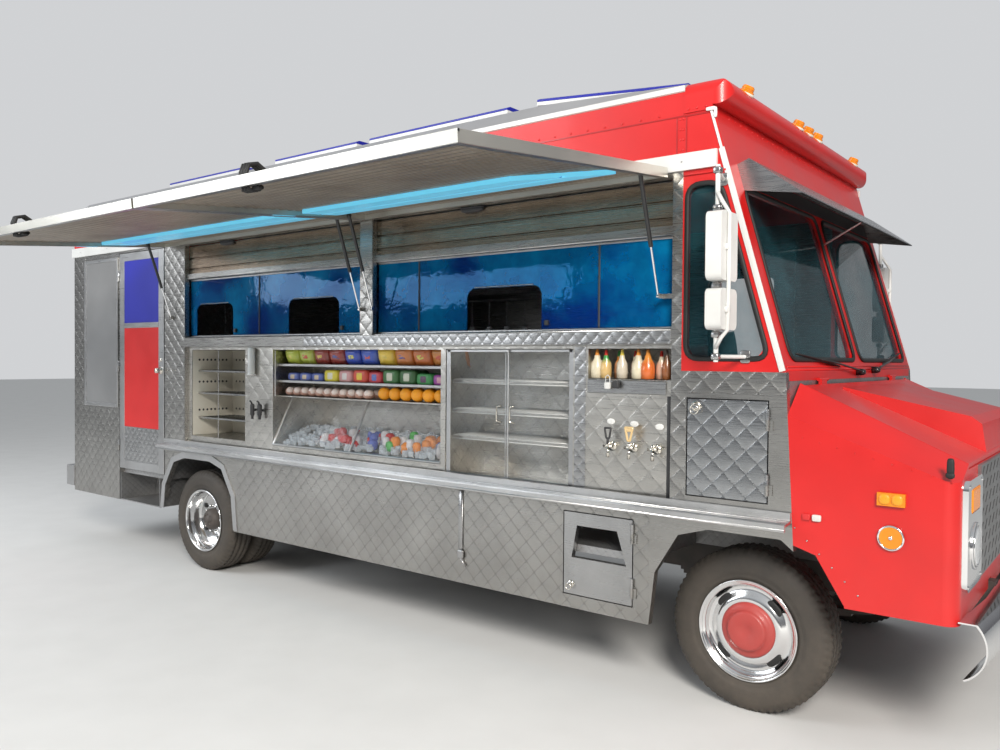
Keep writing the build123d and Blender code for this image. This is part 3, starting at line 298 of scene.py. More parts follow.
def tinted(name, rough, coat, size=120.0):
    """Goods whose colours lie in the mesh."""
    tree, shader, coords = finish(name, "stainless")
    colour = add(tree, "ShaderNodeAttribute", attribute_name="tint").outputs["Color"]
    grain = use(tree, "fine_grain", coords, Size=size)
    shade = ramp(tree, grain["Tone"], (0.75, 0.75, 0.75), (1, 1, 1))
    mixed = add(tree, "ShaderNodeVectorMath", {0: colour, 1: shade}, operation="MULTIPLY").outputs[0]
    rub = spread(tree, grain["Tone"], rough - 0.05, rough + 0.1)
    feed(tree, shader, {"Base Color": mixed, "Roughness": rub, "Coat Weight": coat})
    bump(tree, shader, grain["Grain"], 0.0005)


QUILTED_WALLS = (  # rectangles of the side walls that are quilted: X from and to, Z from and to
    (-6.55, -6.33, 0.5, 2.66), (-4.96, -4.66, 1.02, 2.66), (-6.55, -5.71, 0.44, 1.29), (-0.26, 0.26, 1.585, 1.69),
    (-3.94, -0.43, 0.40, 0.98), (-0.32, -0.24, 1.02, 2.7), (-5.05, -4.7, 0.4, 1.0), (-2.575, -2.46, 1.89, 2.37),
)
steel("wall_steel", (0.46, 0.45, 0.43), 0.27, zones=QUILTED_WALLS, dust=0.5, dent=0.0022)
steel("quilt_steel", (0.44, 0.45, 0.46), 0.25, quilted=True, dent=0.0022)
steel("plain_steel", (0.50, 0.50, 0.50), 0.27)
steel("back_steel", (0.62, 0.60, 0.56), 0.30, quilted=True, pitch=0.13, dent=0.0015, dust=0.0)
steel("shelf_steel", (0.66, 0.66, 0.66), 0.30, dust=0.2)
steel("bumper_steel", (0.55, 0.55, 0.55), 0.3)
steel("deck_plate", (0.5, 0.5, 0.5), 0.45, "deck", quilted=True, pitch=0.05)
steel("pipe_steel", (0.33, 0.28, 0.24), 0.5, "pipe")
steel("grille_grey", (0.34, 0.34, 0.34), 0.42, "grille", dust=0.25)
steel("trim_alloy", (0.58, 0.58, 0.58), 0.32, dust=0.2)
steel("kick_steel", (0.50, 0.50, 0.50), 0.28, quilted=True, pitch=0.075, dent=0.002)
# the header's brown is a painted reflection on its brushed metal
steel("header_brown", (0.36, 0.28, 0.21), 0.25, dust=0.0)
paint("red_paint", (0.60, 0.009, 0.008), 0.36, 0.18, "red")
paint("red_shadow", (0.40, 0.008, 0.008), slot="red")
paint("roof_grey", (0.30, 0.30, 0.31), 0.42, 0.1)
paint("white_paint", (0.70, 0.70, 0.68), coat=0.3)
paint("cream_trim", (0.74, 0.70, 0.60), 0.4, 0.2)
paint("blue_paint", (0.003, 0.008, 0.33), 0.45, 0.05)
# painted light: the sky-blue strips are a painted reflection of the sky that glows so that it stays bright in the
# awnings' shade
paint("sky_strip", (0.16, 0.66, 0.95), 0.35, 0.4, glow=0.42)
# painted shade: the dark blue line laid in the groove of the sky-blue strips
paint("groove_shade_line", (0.02, 0.16, 0.40), 0.35, 0.4)
paint("awning_edge", (0.66, 0.64, 0.58), 0.32, 0.1, metal=0.9)
paint("board_grey", (0.21, 0.21, 0.21), 0.35, 0.2)
paint("chassis_black", (0.018, 0.017, 0.016), 0.55, 0.0, "chassis", dust=0.7)
paint("strut_black", (0.012, 0.012, 0.013), 0.35, 0.2, "strut_black")
paint("wheel_coral", (0.46, 0.035, 0.03), 0.5, 0.1, "wheel", dust=0.4)
plastic("cast_iron", "engine", (0.08, 0.075, 0.07), 0.6, 150.0, 0.001)
plastic("mirror_white", "mirrors", (0.75, 0.75, 0.73), 0.35)
plastic("seat_vinyl", "seat", (0.03, 0.03, 0.033), 0.5, 250.0, 0.0006)
plastic("dash_plastic", "dash", (0.035, 0.035, 0.037), 0.55)
plastic("rubber_trim", "tyre", (0.012, 0.012, 0.012), 0.6)
plastic("amber_lens", "amber", (0.85, 0.26, 0.01), 0.2, 60.0)
plastic("amber_disc", "amber", (0.9, 0.36, 0.02), 0.3, 200.0)
polished("chrome", "chrome", (0.86, 0.86, 0.86), 0.05)
polished("wheel_chrome", "wheel", (0.82, 0.82, 0.82), 0.10)
polished("tap_metal", "chrome", (0.78, 0.74, 0.66), 0.12)
# the cab glass and the blue acrylic carry a painted reflection between their colour and their deep colour
glazing("cab_glass", "cab_glass", (0.02, 0.09, 0.11), 0.60, deep=(0.01, 0.04, 0.05), shine=(0.55, 0.85, 1.0))
glazing("display_glass", "display_glass", (0.35, 0.38, 0.40), 0.90)
glazing("blue_acrylic", "blue_acrylic", (0.002, 0.17, 0.36), 0.25, wave=0.004, deep=(0.001, 0.025, 0.17),
        shine=(0.05, 0.42, 1.0))
glazing("lamp_glass", "lens", (0.85, 0.88, 0.9), 0.35)
glazing("ice", "display_glass", (0.80, 0.86, 0.92), 0.45, rough=0.12)
glazing("fluted_glass", "lens", (0.75, 0.78, 0.80), 0.30, wave=0.004, rough=0.08)
tinted("foil", 0.28, 0.5)
tinted("carton", 0.45, 0.1)
tinted("food", 0.5, 0.1, 500.0)


def awning_finish():
    """Inner skin of the awnings: fine lines across it, in dark brown clouds."""
    tree, shader, coords = finish("awning_skin", "white")
    rib = calc(tree, "SINE", times(tree, axes(tree, coords)["X"], 2 * pi / 0.03))
    # the whole skin is coloured in clouds of dark brown
    stain = use(tree, "brushed_lines", coords)["Clouds"]
    tone = ramp(tree, stain, (0.22, 0.18, 0.14), (0.38, 0.33, 0.27))
    feed(tree, shader, {"Base Color": tone, "Roughness": 0.42, "Metallic": 0.55})
    bump(tree, shader, rib, 0.0006)


def tyre_finish():
    """Tyre rubber, browned by dust in patches."""
    tree, shader, coords = finish("tyre_rubber", "tyre")
    grain = use(tree, "fine_grain", coords, Size=160.0)["Grain"]
    dust = use(tree, "road_dust", coords, Top=1.4, Amount=0.75)["Mask"]
    tone = blend_colour(tree, dust, (0.018, 0.017, 0.016), (0.16, 0.13, 0.10))
    feed(tree, shader, {"Base Color": tone, "Roughness": spread(tree, dust, 0.62, 0.9, 0.0, 1.0)})
    bump(tree, shader, grain, 0.0008)


def floor_finish():
    """Plain pale floor with a barely seen mottle."""
    tree, shader, coords = finish("studio_floor", "tyre")
    tone = ramp(tree, use(tree, "fine_grain", coords, Size=40.0)["Tone"], (0.70, 0.695, 0.68), (0.73, 0.725, 0.71))
    feed(tree, shader, {"Base Color": tone, "Roughness": 0.85})


awning_finish()
tyre_finish()
floor_finish()


# Meshes
class Batch:
    """Many small surfaces gathered into one mesh, each with its own tint."""

    def __init__(self):
        self.points, self.faces, self.tints, self.count = [], [], [], 0

    def add(self, grid, rows=False, columns=True, tint=(1, 1, 1)):
        """Puts in a grid of points as quads between neighbours, closed round its rows or columns."""
        high, wide, _ = grid.shape
        i = np.arange(high if rows else high - 1)[:, None]
        j = np.arange(wide if columns else wide - 1)[None, :]
        k, m = (i + 1) % high, (j + 1) % wide
        quads = np.stack([i * wide + j, k * wide + j, k * wide + m, i * wide + m], -1)
        self.faces.append(quads.reshape(-1, 4) + self.count)
        self.points.append(grid.reshape(-1, 3))
        shade = np.broadcast_to(np.asarray(tint, float), (high, wide, 3)).reshape(-1, 3)
        self.tints.append(np.column_stack([shade, np.ones(len(shade))]))
        self.count += high * wide

    def pair(self, grid, **how):
        """Puts in a grid and its mirror image across the centreline."""
        self.add(grid, **how)
        self.add(grid * (1, -1, 1), **how)

    def pipe(self, *shape, **how):
        """Puts in a pipe."""
        self.add(pipe(*shape), **how)

    def bar(self, x, y, z, *shape, **how):
        """Puts in a straight round bar; the coordinate that changes along it is a pair."""
        self.add(pipe(np.stack(np.broadcast_arrays(x, y, z), -1), *shape), **how)

    def plate(self, *shape, **how):
        """Puts in a plate."""
        self.add(plate(*shape), **how)

    def lump(self, *shape, **how):
        """Puts in a lump."""
        self.add(lump(*shape), **how)

    def turned(self, profile, centre, axis="Y", tints=None, steps=20, flip=None):
        """Puts in a turned form whose ends close on the axis, with a tint for each ring.

        Its distances run out of the serving side along Y, forward along X or up along Z, unless flip is given.
        """
        flip = flip or (-1.0 if axis == "Y" else 1.0)
        grid = turned(np.asarray(profile, float) * (1, flip), centre, axis, steps)
        self.add(grid, tint=(1, 1, 1) if tints is None else np.repeat(np.asarray(tints, float)[:, None], steps, 1))

    def hoop(self, radius, centre, axis, steps, *shape):
        """Puts in a round wire about an axis."""
        self.add(loop_tube(turned(((radius, 0),), centre, axis, steps)[0], *shape), rows=True)

    def put(self, name, coat, body="truck", smooth=True, bevel=0.0):
        """Makes the one mesh piece, with its finish and its body."""
        mesh = bpy.data.meshes.new(name)
        mesh.from_pydata(np.concatenate(self.points) + ORIGIN, [], np.concatenate(self.faces).tolist())
        shade = mesh.attributes.new("tint", "FLOAT_COLOR", "POINT")
        shade.data.foreach_set("color", np.concatenate(self.tints).ravel())
        piece = bpy.data.objects.new(name, mesh)
        bpy.context.scene.collection.objects.link(piece)
        form = bmesh.new()
        form.from_mesh(mesh)
        bmesh.ops.remove_doubles(form, verts=form.verts, dist=1e-6)
        bmesh.ops.recalc_face_normals(form, faces=form.faces)
        form.to_mesh(mesh)
        form.free()
        mesh.polygons.foreach_set("use_smooth", [smooth] * len(mesh.polygons))
        if bevel:
            edge = piece.modifiers.new("edge", "BEVEL")
            edge.width, edge.segments, edge.limit_method = bevel, 2, "ANGLE"
        mesh.materials.append(MATERIALS[coat])
        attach(piece, body)
        return piece

    def flat(self, *names, **extras):
        """Makes the piece with flat faces."""
        return self.put(*names, smooth=False, **extras)


def lump(centre, size, square=1.0, rows=9, columns=14, twist=0.0, crush=0.0, seed=0):
    """Superellipsoid: cosines and sines of latitude and longitude raised to a power that squares it.

    crush pushes each point in or out by a seeded random share, and twist turns it about Z.
    """
    v = np.linspace(-pi / 2, pi / 2, rows)[:, None]
    u = np.linspace(0, 2 * pi, columns, endpoint=False)[None, :]

    def power(value):
        return np.sign(value) * np.abs(value) ** square

    x = power(np.cos(v)) * power(np.cos(u))
    y = power(np.cos(v)) * power(np.sin(u))
    grid = np.stack([x, y, power(np.sin(v)) * np.ones_like(u)], -1)
    if crush:
        noise = np.random.default_rng(seed).normal(0, crush, (rows, columns, 1))
        noise[0], noise[-1] = 0, 0
        grid = grid * (1 + noise)
    grid = grid * np.asarray(size) / 2
    c, s = cos(twist), sin(twist)
    x, y = grid[..., 0] * c - grid[..., 1] * s, grid[..., 0] * s + grid[..., 1] * c
    return np.stack([x, y, grid[..., 2]], -1) + np.asarray(centre)


def turned(profile, centre, axis, steps=32):
    """A profile of (radius, distance) carried round an axis through a centre."""
    profile = np.asarray(profile, float)
    a = np.linspace(0, 2 * pi, steps, endpoint=False)[None, :]
    r, h = profile[:, :1], profile[:, 1:] * np.ones_like(a)
    ring = {"X": (h, r * np.cos(a), r * np.sin(a)), "Y": (r * np.cos(a), h, r * np.sin(a)),
            "Z": (r * np.cos(a), r * np.sin(a), h)}
    return np.stack(ring[axis], -1) + np.asarray(centre)


def pipe(path, radius, sides=10):
    """A round tube carried along a path, its ring turned to the path's direction, with closed ends."""
    path = np.asarray(path, float)
    way = np.gradient(path, axis=0)
    way /= np.linalg.norm(way, axis=1, keepdims=True)
    side = np.cross(way, (0.12, 0.31, 0.94))
    side /= np.linalg.norm(side, axis=1, keepdims=True)
    up = np.cross(way, side)
    a = np.linspace(0, 2 * pi, sides, endpoint=False)[None, :, None]
    body = path[:, None] + radius * (np.cos(a) * side[:, None] + np.sin(a) * up[:, None])
    ends = [np.repeat(path[i][None, None], sides, 1) for i in (0, -1)]
    return np.concatenate([ends[0], body, ends[1]])


def capped(rows):
    """Rows of points with both ends drawn in to their middles."""
    rows = np.asarray(rows, float)
    ends = [np.repeat(rows[i].mean(0)[None, None], rows.shape[1], 1) for i in (0, -1)]
    return np.concatenate([ends[0], rows, ends[1]])


def carried(profile, path, across=(0, -1, 0)):
    """A closed profile of (out, up) pairs carried straight along a path of points, with closed ends."""
    profile, path = np.asarray(profile, float), np.asarray(path, float)
    out = np.asarray(across, float)
    up = np.cross(path[-1] - path[0], out)
    up = up / np.linalg.norm(up)
    return capped(path[:, None] + profile[None, :, :1] * out + profile[None, :, 1:] * up)


def plate(x, y, z, edge=0.004):
    """A flat plate with softened rims: its outline drawn in a little at both faces of its thinnest side."""
    low, high = np.array([x[0], y[0], z[0]]), np.array([x[1], y[1], z[1]])
    thin = int(np.argmin(high - low))
    a, b = [k for k in range(3) if k != thin]
    thick = (high - low)[thin]
    edge = min(edge, thick / 2)
    rows = []
    for depth, inset in ((0, edge), (edge, 0.0), (thick - edge, 0.0), (thick, edge)):
        ring = np.zeros((4, 3))
        ring[:, a] = [low[a] + inset, high[a] - inset, high[a] - inset, low[a] + inset]
        ring[:, b] = [low[b] + inset, low[b] + inset, high[b] - inset, high[b] - inset]
        ring[:, thin] = low[thin] + depth
        rows.append(ring)
    return capped(rows)


def bars(batch, y, xs, zs):
    """Four bars round a panel from the X and the Z of their edges: both uprights, then foot and head between."""
    for x, z in ((xs[:2], (zs[0], zs[3])), (xs[2:], (zs[0], zs[3])), (xs[1:3], zs[:2]), (xs[1:3], zs[2:])):
        batch.plate(x, y, z)


def rounded_loop(corners, radius, steps=6):
    """A closed path through corner points, each corner turned by a short curve: a quadratic between its two arms."""
    corners = np.asarray(corners, float)
    before, after = np.roll(corners, 1, 0), np.roll(corners, -1, 0)
    arm = radius * (before - corners) / np.linalg.norm(before - corners, axis=1, keepdims=True)
    leg = radius * (after - corners) / np.linalg.norm(after - corners, axis=1, keepdims=True)
    t = np.linspace(0, 1, steps)[None, :, None]
    start, end, top = (corners + arm)[:, None], (corners + leg)[:, None], corners[:, None]
    return ((1 - t) ** 2 * start + 2 * t * (1 - t) * top + t**2 * end).reshape(-1, 3)


def loop_tube(path, radius, sides=8, flat=1.0):
    """A closed tube round a loop, flattened across it by a share."""
    way = np.roll(path, -1, 0) - np.roll(path, 1, 0)
    way /= np.linalg.norm(way, axis=1, keepdims=True)
    normal = np.cross(path[0] - path[len(path) // 3], path[0] - path[2 * len(path) // 3])
    normal /= np.linalg.norm(normal)
    side = np.cross(way, normal)
    a = np.linspace(0, 2 * pi, sides, endpoint=False)[None, :, None]
    return path[:, None] + radius * (np.cos(a) * side[:, None] + flat * np.sin(a) * normal[None, None])


def bead(corners, radius, *shape):
    """A closed tube through corner points that are rounded."""
    return loop_tube(rounded_loop(corners, radius), *shape)


# Finishes of the solids
COATS = {
    "chassis_black": "frame springs front_axle rear_axle fuel_tank knuckle_left knuckle_right",
    "cast_iron": "engine",
    "pipe_steel": "exhaust",
    "deck_plate": "floor wheel_boxes",
    "wall_steel": "right_wall left_wall",
    "quilt_steel": "rear_wall side_door locker_door rear_door",
    "plain_steel": "visor generator_door cab_door kitchen_bench",
    "bumper_steel": "rear_bumper",
    "shelf_steel": "shelf",
    "back_steel": "cabinet",
    "red_paint": "upper_band roof_cap cab_shell nose hood",
    "white_paint": "rails roof_lid_1 roof_lid_2 roof_lid_3 roof_lid_4",
    "roof_grey": "roof",
    "awning_edge": "awning_front awning_rear",
    "strut_black": "strut_tubes_front strut_tubes_rear",
    "chrome": "lamp_bezels front_bumper strut_rods_front strut_rods_rear",
    "grille_grey": "grille",
    "lamp_glass": "headlamps",
    "amber_lens": "small_lamps",
    "mirror_white": "mirrors",
    "cab_glass": "cab_glass",
    "display_glass": "display_glass",
    "blue_acrylic": "service_windows",
    "seat_vinyl": "cab_seat",
    "dash_plastic": "dashboard",
    "wheel_chrome": "front_wheel_left front_wheel_right rear_wheel_left rear_wheel_right",
    "tyre_rubber": "front_tyre_left front_tyre_right rear_tyres_left rear_tyres_right",
}
for coat, names in COATS.items():
    for name in names.split():
        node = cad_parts[name]
        node.data.materials.clear()
        node.data.materials.append(MATERIALS[coat])


# Shapes used by the pieces
DROOP = radians(5.6)  # how far the awnings fall below level
HINGE_Y, HINGE_Z = -1.240, 2.655


def on_face(z):
    """X of the raked cab face at a height: it leans back 0.363 over the 1.255 above its foot."""
    return 0.250 - 0.363 * (z - 1.690) / 1.255


def hang(grid):
    """Points given across the awnings, as X, distance out from the hinge and height, set in their drooping plane."""
    out, up = grid[..., 1], grid[..., 2]
    y = HINGE_Y - out * cos(DROOP) - up * sin(DROOP)
    z = HINGE_Z - out * sin(DROOP) + up * cos(DROOP)
    return np.stack([grid[..., 0], y, z], -1)


def rivet(x, y, z, radius=0.006, axis="Y", out=-1.0):
    """One low domed rivet head."""
    profile = ((0.0, 0.0035 * out), (radius * 0.6, 0.003 * out), (radius, 0.0), (radius, -0.0005 * out))
    return turned(profile, (x, y, z), axis, 8)


# Body: trim, seams and rivets
LIP_Z, SEAM_Z, CAB_REAR, BODY_REAR = 3.06, 2.935, -0.266, -6.55
ROOF_Z, ROOF_FRONT_Z, FALL_X = 3.19, 3.10, -1.20  # the roof is level, then falls from FALL_X to the cab
BAND_FACE = -1.2225  # Y of the low bars' faces


def body_trim():
    """White lip along the eaves and round the back."""
    lip = Batch()
    profile = ((0, -0.022), (0.007, -0.022), (0.007, 0.004), (-0.012, 0.014), (-0.014, 0.011), (0, 0.002))
    lip.pair(carried(profile, [(x, PROUD, LIP_Z) for x in (BODY_REAR + 0.002, -0.262)]))
    lip.add(carried(profile, [(BODY_REAR - 0.0005, y, LIP_Z) for y in (-1.2, 1.2)], (-1, 0, 0)))
    lip.flat("eave_lip", "white_paint")


def seams():
    """Overlaps of the red sheets: low flat bars along the band and down its joints."""
    red = Batch()
    red.pair(plate((BODY_REAR, CAB_REAR - 0.001), (BAND_FACE, SKIN), (SEAM_Z - 0.004, SEAM_Z + 0.004), 0.002))
    red.pair(plate((CAB_REAR + 0.002, -0.125), (-1.2235, SKIN), (SEAM_Z - 0.007, SEAM_Z + 0.003), 0.002))
    for x in (-0.302, -0.252, -2.1, -3.9, -5.6):
        red.pair(plate((x - 0.004, x + 0.004), (BAND_FACE, SKIN), (2.752, 3.035 if x < -1 else 2.93), 0.002))
    red.flat("band_seams", "red_shadow")


def rivets():
    """Rivet heads along the red band, the rails, the arches and the fender edges, and the roof lamps' bases."""
    red, bright, bases = Batch(), Batch(), Batch()
    for x in np.arange(BODY_REAR + 0.06, -0.3, 0.105):
        red.pair(rivet(x, -1.2215, SEAM_Z + 0.018))
    for z in np.arange(2.77, 2.93, 0.05):
        for x in (-0.285, -0.268):
            red.add(rivet(x, PROUD, z))
    for x in np.arange(-0.24, -0.13, 0.045):
        red.add(rivet(x, -1.2265, 2.962))
    for y in np.arange(-1.05, 1.06, 0.075):
        red.add(rivet(on_face(2.93) + 0.001, y, 2.93, 0.005, "X", 1.0))
    for x in (-0.27, -0.6, -1.4, -2.3, -3.2, -4.1, -5.0, -5.9, -6.4):
        bright.pair(rivet(x, -1.2355, 2.71, 0.005))
    for k in range(9):
        red.pair(rivet(0.33 + 0.075 * k, PROUD, 1.40 - 0.018 * k, 0.0045))
    for k in range(6):
        bright.pair(rivet(0.30 + 0.055 * k, PROUD, 0.99 - 0.052 * k, 0.0045))
    ring = turned(((0.0, 0.050), (0.040, 0.050), (0.043, 0.054), (0.043, 0.062), (0.0375, 0.064)), (0, 0, 0), "Z", 24)
    c, s = cos(radians(28)), sin(radians(28))
    x, z = ring[..., 0] * c + ring[..., 2] * s, ring[..., 2] * c - ring[..., 0] * s
    for y in (-0.93, -0.17, 0.0, 0.17, 0.93):
        bases.add(np.stack([x - 0.100, ring[..., 1] + y, z + 3.028], -1))
    bases.put("marker_bases", "cream_trim")
    red.put("red_rivets", "red_paint")
    bright.put("steel_rivets", "plain_steel")


def lid_tops():
    """Deep blue caps of the roof lids: a shallow frustum on each pan, with white flanges left below."""
    near, far = -1.062, -0.102
    for number, rear, front in ((1, -5.15, -4.11), (2, -3.69, -2.79), (3, -2.66, -1.48), (4, -1.27, -0.34)):
        tilt = np.arctan2(ROOF_Z - ROOF_FRONT_Z, CAB_REAR - FALL_X) if number == 4 else 0.0
        rings = []
        for up, inset_x, inset_y in ((0.026, 0.001, 0.001), (0.026, -0.0015, -0.0015), (0.0385, -0.0015, -0.0015),
                                     (0.0508, -0.0015, 0.0285), (0.0508, 0.03, 0.06)):
            x0, x1, y0, y1 = rear + inset_x, front - inset_x, near + inset_y, far - inset_y
            rings.append([(x0, y0, up), (x1, y0, up), (x1, y1, up), (x0, y1, up)])
        grid = capped(rings)[1:]
        hinge = front + 0.011
        height = ROOF_Z + (ROOF_FRONT_Z - ROOF_Z) * max(0.0, (hinge - FALL_X) / (CAB_REAR - FALL_X))
        local = grid[..., 0] - hinge
        grid[..., 0] = hinge + local * np.cos(tilt) + grid[..., 2] * np.sin(tilt)
        grid[..., 2] = height - local * np.sin(tilt) + grid[..., 2] * np.cos(tilt)
        cap = Batch()
        cap.add(grid)
        cap.flat("lid_top_%d" % number, "blue_paint", "roof_lid_%d" % number, bevel=0.002)


def menu_board():
    """Blank menu board in an aluminium frame behind the side door."""
    x0, x1, z0, z1 = -6.318, -5.735, 1.30, 2.60
    edges, face = Batch(), Batch()
    bars(edges, (-1.232, SKIN), (x0 - 0.02, x0 + 0.012, x1 - 0.012, x1 + 0.014),
         (z0 - 0.02, z0 + 0.012, z1 - 0.012, z1 + 0.02))
    face.plate((x0 + 0.01, x1 - 0.01), (-1.2265, SKIN), (z0 + 0.01, z1 - 0.01))
    edges.flat("board_frame", "trim_alloy")
    face.flat("menu_board", "board_grey")


def side_door_dress():
    """Side door: wide alloy frame, blue and red panels with a bar between, quilted kick plate and its handle."""
    x0, x1, z0, z1 = -5.70, -4.966, 0.746, 2.644
    inner, foot, head = (x0 + 0.085, x1 - 0.085), z0 + 0.075, z1 - 0.07
    rim, knob = Batch(), Batch()
    bars(rim, (-1.226, SKIN), (x0 + 0.01, *inner, x1), (z0, foot, head, z1))
    rim.plate(inner, (-1.226, SKIN), (1.985, 2.03))
    rim.flat("side_door_frame", "trim_alloy", "side_door")
    for name, coat, z in (("blue", "blue_paint", (2.03, head)), ("red", "red_paint", (1.12, 1.985)),
                          ("kick", "kick_steel", (foot, 1.12))):
        panel = Batch()
        panel.plate(inner, (-1.2235, SKIN), z, 0.002)
        panel.flat("side_door_" + name, coat, "side_door")
    knob.turned(((0.0, 0.052), (0.018, 0.05), (0.024, 0.036), (0.016, 0.024), (0.012, 0.012), (0.03, 0.009),
                 (0.03, 0.0)), (x1 - 0.044, -1.226, 1.62))
    knob.turned(((0.0, 0.008), (0.012, 0.008), (0.015, 0.0)), (x1 - 0.045, -1.226, 1.71))
    knob.put("side_door_knob", "tap_metal", "side_door")


def door_hardware():
    """Locks and handles of the other doors: ring pull, slam latch, back door lever and cab door cup."""
    for body, name, x, z, radius in (("locker_door", "locker_ring", -0.185, 1.52, 0.022),
                                     ("generator_door", "generator_latch", -0.90, 0.53, 0.016)):
        piece = Batch()
        piece.turned(((0.0, 0.006), (radius, 0.006), (radius + 0.004, 0.0)), (x, PROUD, z))
        piece.hoop(radius, (x, -1.243, z - radius * 0.7), "Y", 20, 0.0028)
        piece.put(name, "tap_metal", body)
    lever, cup = Batch(), Batch()
    lever.pipe([(x, y, 1.62) for x, y in ((-6.551, -0.334), (-6.603, -0.334), (-6.6055, -0.325), (-6.6055, -0.210))],
               0.0115)
    lever.turned(((0.0, 0.012), (0.033, 0.009), (0.035, 0.0)), (-6.5505, -0.334, 1.62), "X", flip=-1.0)
    lever.put("rear_door_lever", "tap_metal", "rear_door")
    cup.hoop(0.040, (-0.65, 1.1740, 1.3), "Y", 32, 0.004, 6, 0.12)
    cup.put("cab_door_cup", "tap_metal", "cab_door")


def skirt_brace():
    """Flat hanging brace on the middle skirt, with a foot pad and a hook."""
    brace = Batch()
    brace.plate((-1.70, -1.665), (-1.2285, PROUD), (0.60, 0.955))
    brace.lump((-1.675, -1.232, 0.575), (0.045, 0.018, 0.05), 0.4)
    brace.pipe(((-1.683, -1.229, 0.57), (-1.66, -1.231, 0.53), (-1.64, -1.231, 0.505)), 0.006)
    brace.put("skirt_brace", "plain_steel")


def arch_trim():
    """Alloy flare strips round the rear arches."""
    x0, x1, top = -4.975, -3.98, 0.912
    drop, step = 0.30 * (top - 0.40), 0.16 * (x1 - x0)
    path = np.array([(x0 + 0.005, 0.47), (x0 + 0.2 * step, top - 1.6 * drop), (x0 + step, top - 0.3 * drop),
                     (x0 + 2 * step, top), (x1 - 2 * step, top), (x1 - step, top - 0.3 * drop),
                     (x1 - 0.2 * step, top - 1.6 * drop), (x1, 0.41)])
    outer = path + np.array([(-0.05, 0), (-0.05, 0.01), (-0.035, 0.035), (-0.02, 0.05), (0.02, 0.05), (0.035, 0.035),
                             (0.05, 0.01), (0.05, 0)])
    strip = Batch()
    rows = [np.insert(way, 1, y, 1) for way, y in ((path, SKIN), (path, -1.2265), (outer, -1.2265), (outer, SKIN))]
    strip.pair(np.stack(rows), rows=True, columns=False)
    strip.flat("arch_flares", "trim_alloy")


def shelf_edges():
    """Rolled outer edge and two pressed grooves of the serving shelf."""
    edge = Batch()
    for y, z, *shape in ((-1.309, 0.983, 0.007), (-1.272, 1.0125, 0.0035, 6), (-1.25, 1.0155, 0.0035, 6)):
        edge.bar((-4.955, 0.283), y, z, *shape)
    edge.put("shelf_edges", "shelf_steel")


# Awnings: lining, bands, straps and lamps
REACH, RIM_WIDE = 1.59, 0.034  # from hinge to outer edge, and the width of the rims


def lining(name, rear, front):
    """Ribbed lining under the skin: height falls in flat-topped ribs, a sine raised to a small power, across Y."""
    out = np.linspace(0.05, REACH - 0.032, 260)
    wave = np.sin(2 * pi * out / 0.06)
    height = 0.0145 + 0.0022 * np.sign(wave) * np.abs(wave) ** 0.4
    across = np.array([rear + 0.031, front - 0.031])
    ribs, lips = Batch(), Batch()
    grid = np.stack(np.broadcast_arrays(across[None, :], out[:, None], height[:, None]), -1)
    ribs.add(hang(grid), columns=False)
    ribs.put("lining_" + name, "awning_skin", "awning_" + name)
    sides = (0.05, REACH - RIM_WIDE)
    for x, y in (((rear, front), (REACH - RIM_WIDE, REACH)), ((rear, rear + RIM_WIDE), sides),
                 ((front - RIM_WIDE, front), sides)):
        lips.add(hang(plate(x, y, (-0.0165, -0.0140))))
    lips.pipe(hang(np.array([(x, REACH - 0.007, 0.029) for x in (rear, front)])), 0.006)
    lips.flat("lips_" + name, "trim_alloy", "awning_" + name)


def sky_strip(name, rear, front, slant, leg):
    """Two sky-blue strips under the lining, a painted reflection of the sky that emits its own light, with a dark line
    of painted shade in the groove between, and a leg outward along the rear edge.
    """
    profile = np.array([(0.335, 0.0135), (0.335, -0.010), (0.455, -0.010), (0.460, -0.003), (0.472, -0.003),
                        (0.477, -0.010), (0.600, -0.010), (0.600, 0.0135)])
    ends = (np.full(8, rear), front - slant * (profile[:, 0] - 0.335))
    band, line = Batch(), Batch()
    band.add(hang(capped([np.column_stack([x, profile]) for x in ends])))
    band.add(hang(plate((leg + 0.004, leg + 0.028), (0.60, 0.757), (-0.0182, -0.0162))))
    band.flat("sky_band_" + name, "sky_strip", "awning_" + name)
    # painted shade: a dark blue line along the groove between the strips
    line.add(hang(pipe([(x, 0.466, -0.005) for x in (rear + 0.01, front - slant * 0.13 - 0.01)], 0.004, 6)))
    line.put("groove_shade_line_" + name, "groove_shade_line", "awning_" + name)


def strap(name, x):
    """Black pull strap over an awning's outer edge, with its keeper."""
    way = ((0.09, -0.012), (0.075, -0.026), (0.04, -0.032), (0.02, -0.030), (0.014, 0.0), (0.0145, 0.045),
           (0.03, 0.078), (0.075, 0.085), (0.11, 0.060), (0.12, 0.036))
    piece = Batch()
    for shift, radius in ((-0.02, 0.010), (0.0, 0.011), (0.02, 0.010)):
        piece.add(hang(pipe([(x + shift, REACH - back, up) for back, up in way], radius)))
    piece.add(hang(lump((x + 0.045, REACH - 0.05, -0.024), (0.05, 0.035, 0.018), 0.4)))
    piece.put("strap_" + name, "rubber_trim", "awning_" + name)


def awning_dress():
    """Everything that hangs on the awnings, and the dome lamps under them."""
    lining("front", -2.49, -0.335)
    lining("rear", -4.88, -2.51)
    sky_strip("front", -2.40, -0.44, 1.6, -2.488)
    sky_strip("rear", -4.79, -2.60, 0.25, -4.878)
    strap("front", -1.58)
    strap("rear", -3.92)
    dome = Batch()
    for x in (-4.12, -1.64):
        dome.lump((x, -1.187, 2.626), (0.17, 0.05, 0.040), 0.8, 11, 24)
        dome.lump((x, -1.187, 2.636), (0.19, 0.062, 0.012), 0.8, 7, 24)
    dome.put("dome_lamps", "dash_plastic")


# Serving hatch: header, sill, window edges and what stands inside
BAY = (-4.66, -0.32)  # rear and front ends
SILL = 1.89
PANES_Y, CASE_Y, CASE_FACE, SHELF_BACK = -1.1605, -1.19, -1.1895, -0.81  # from the windows to the display's back


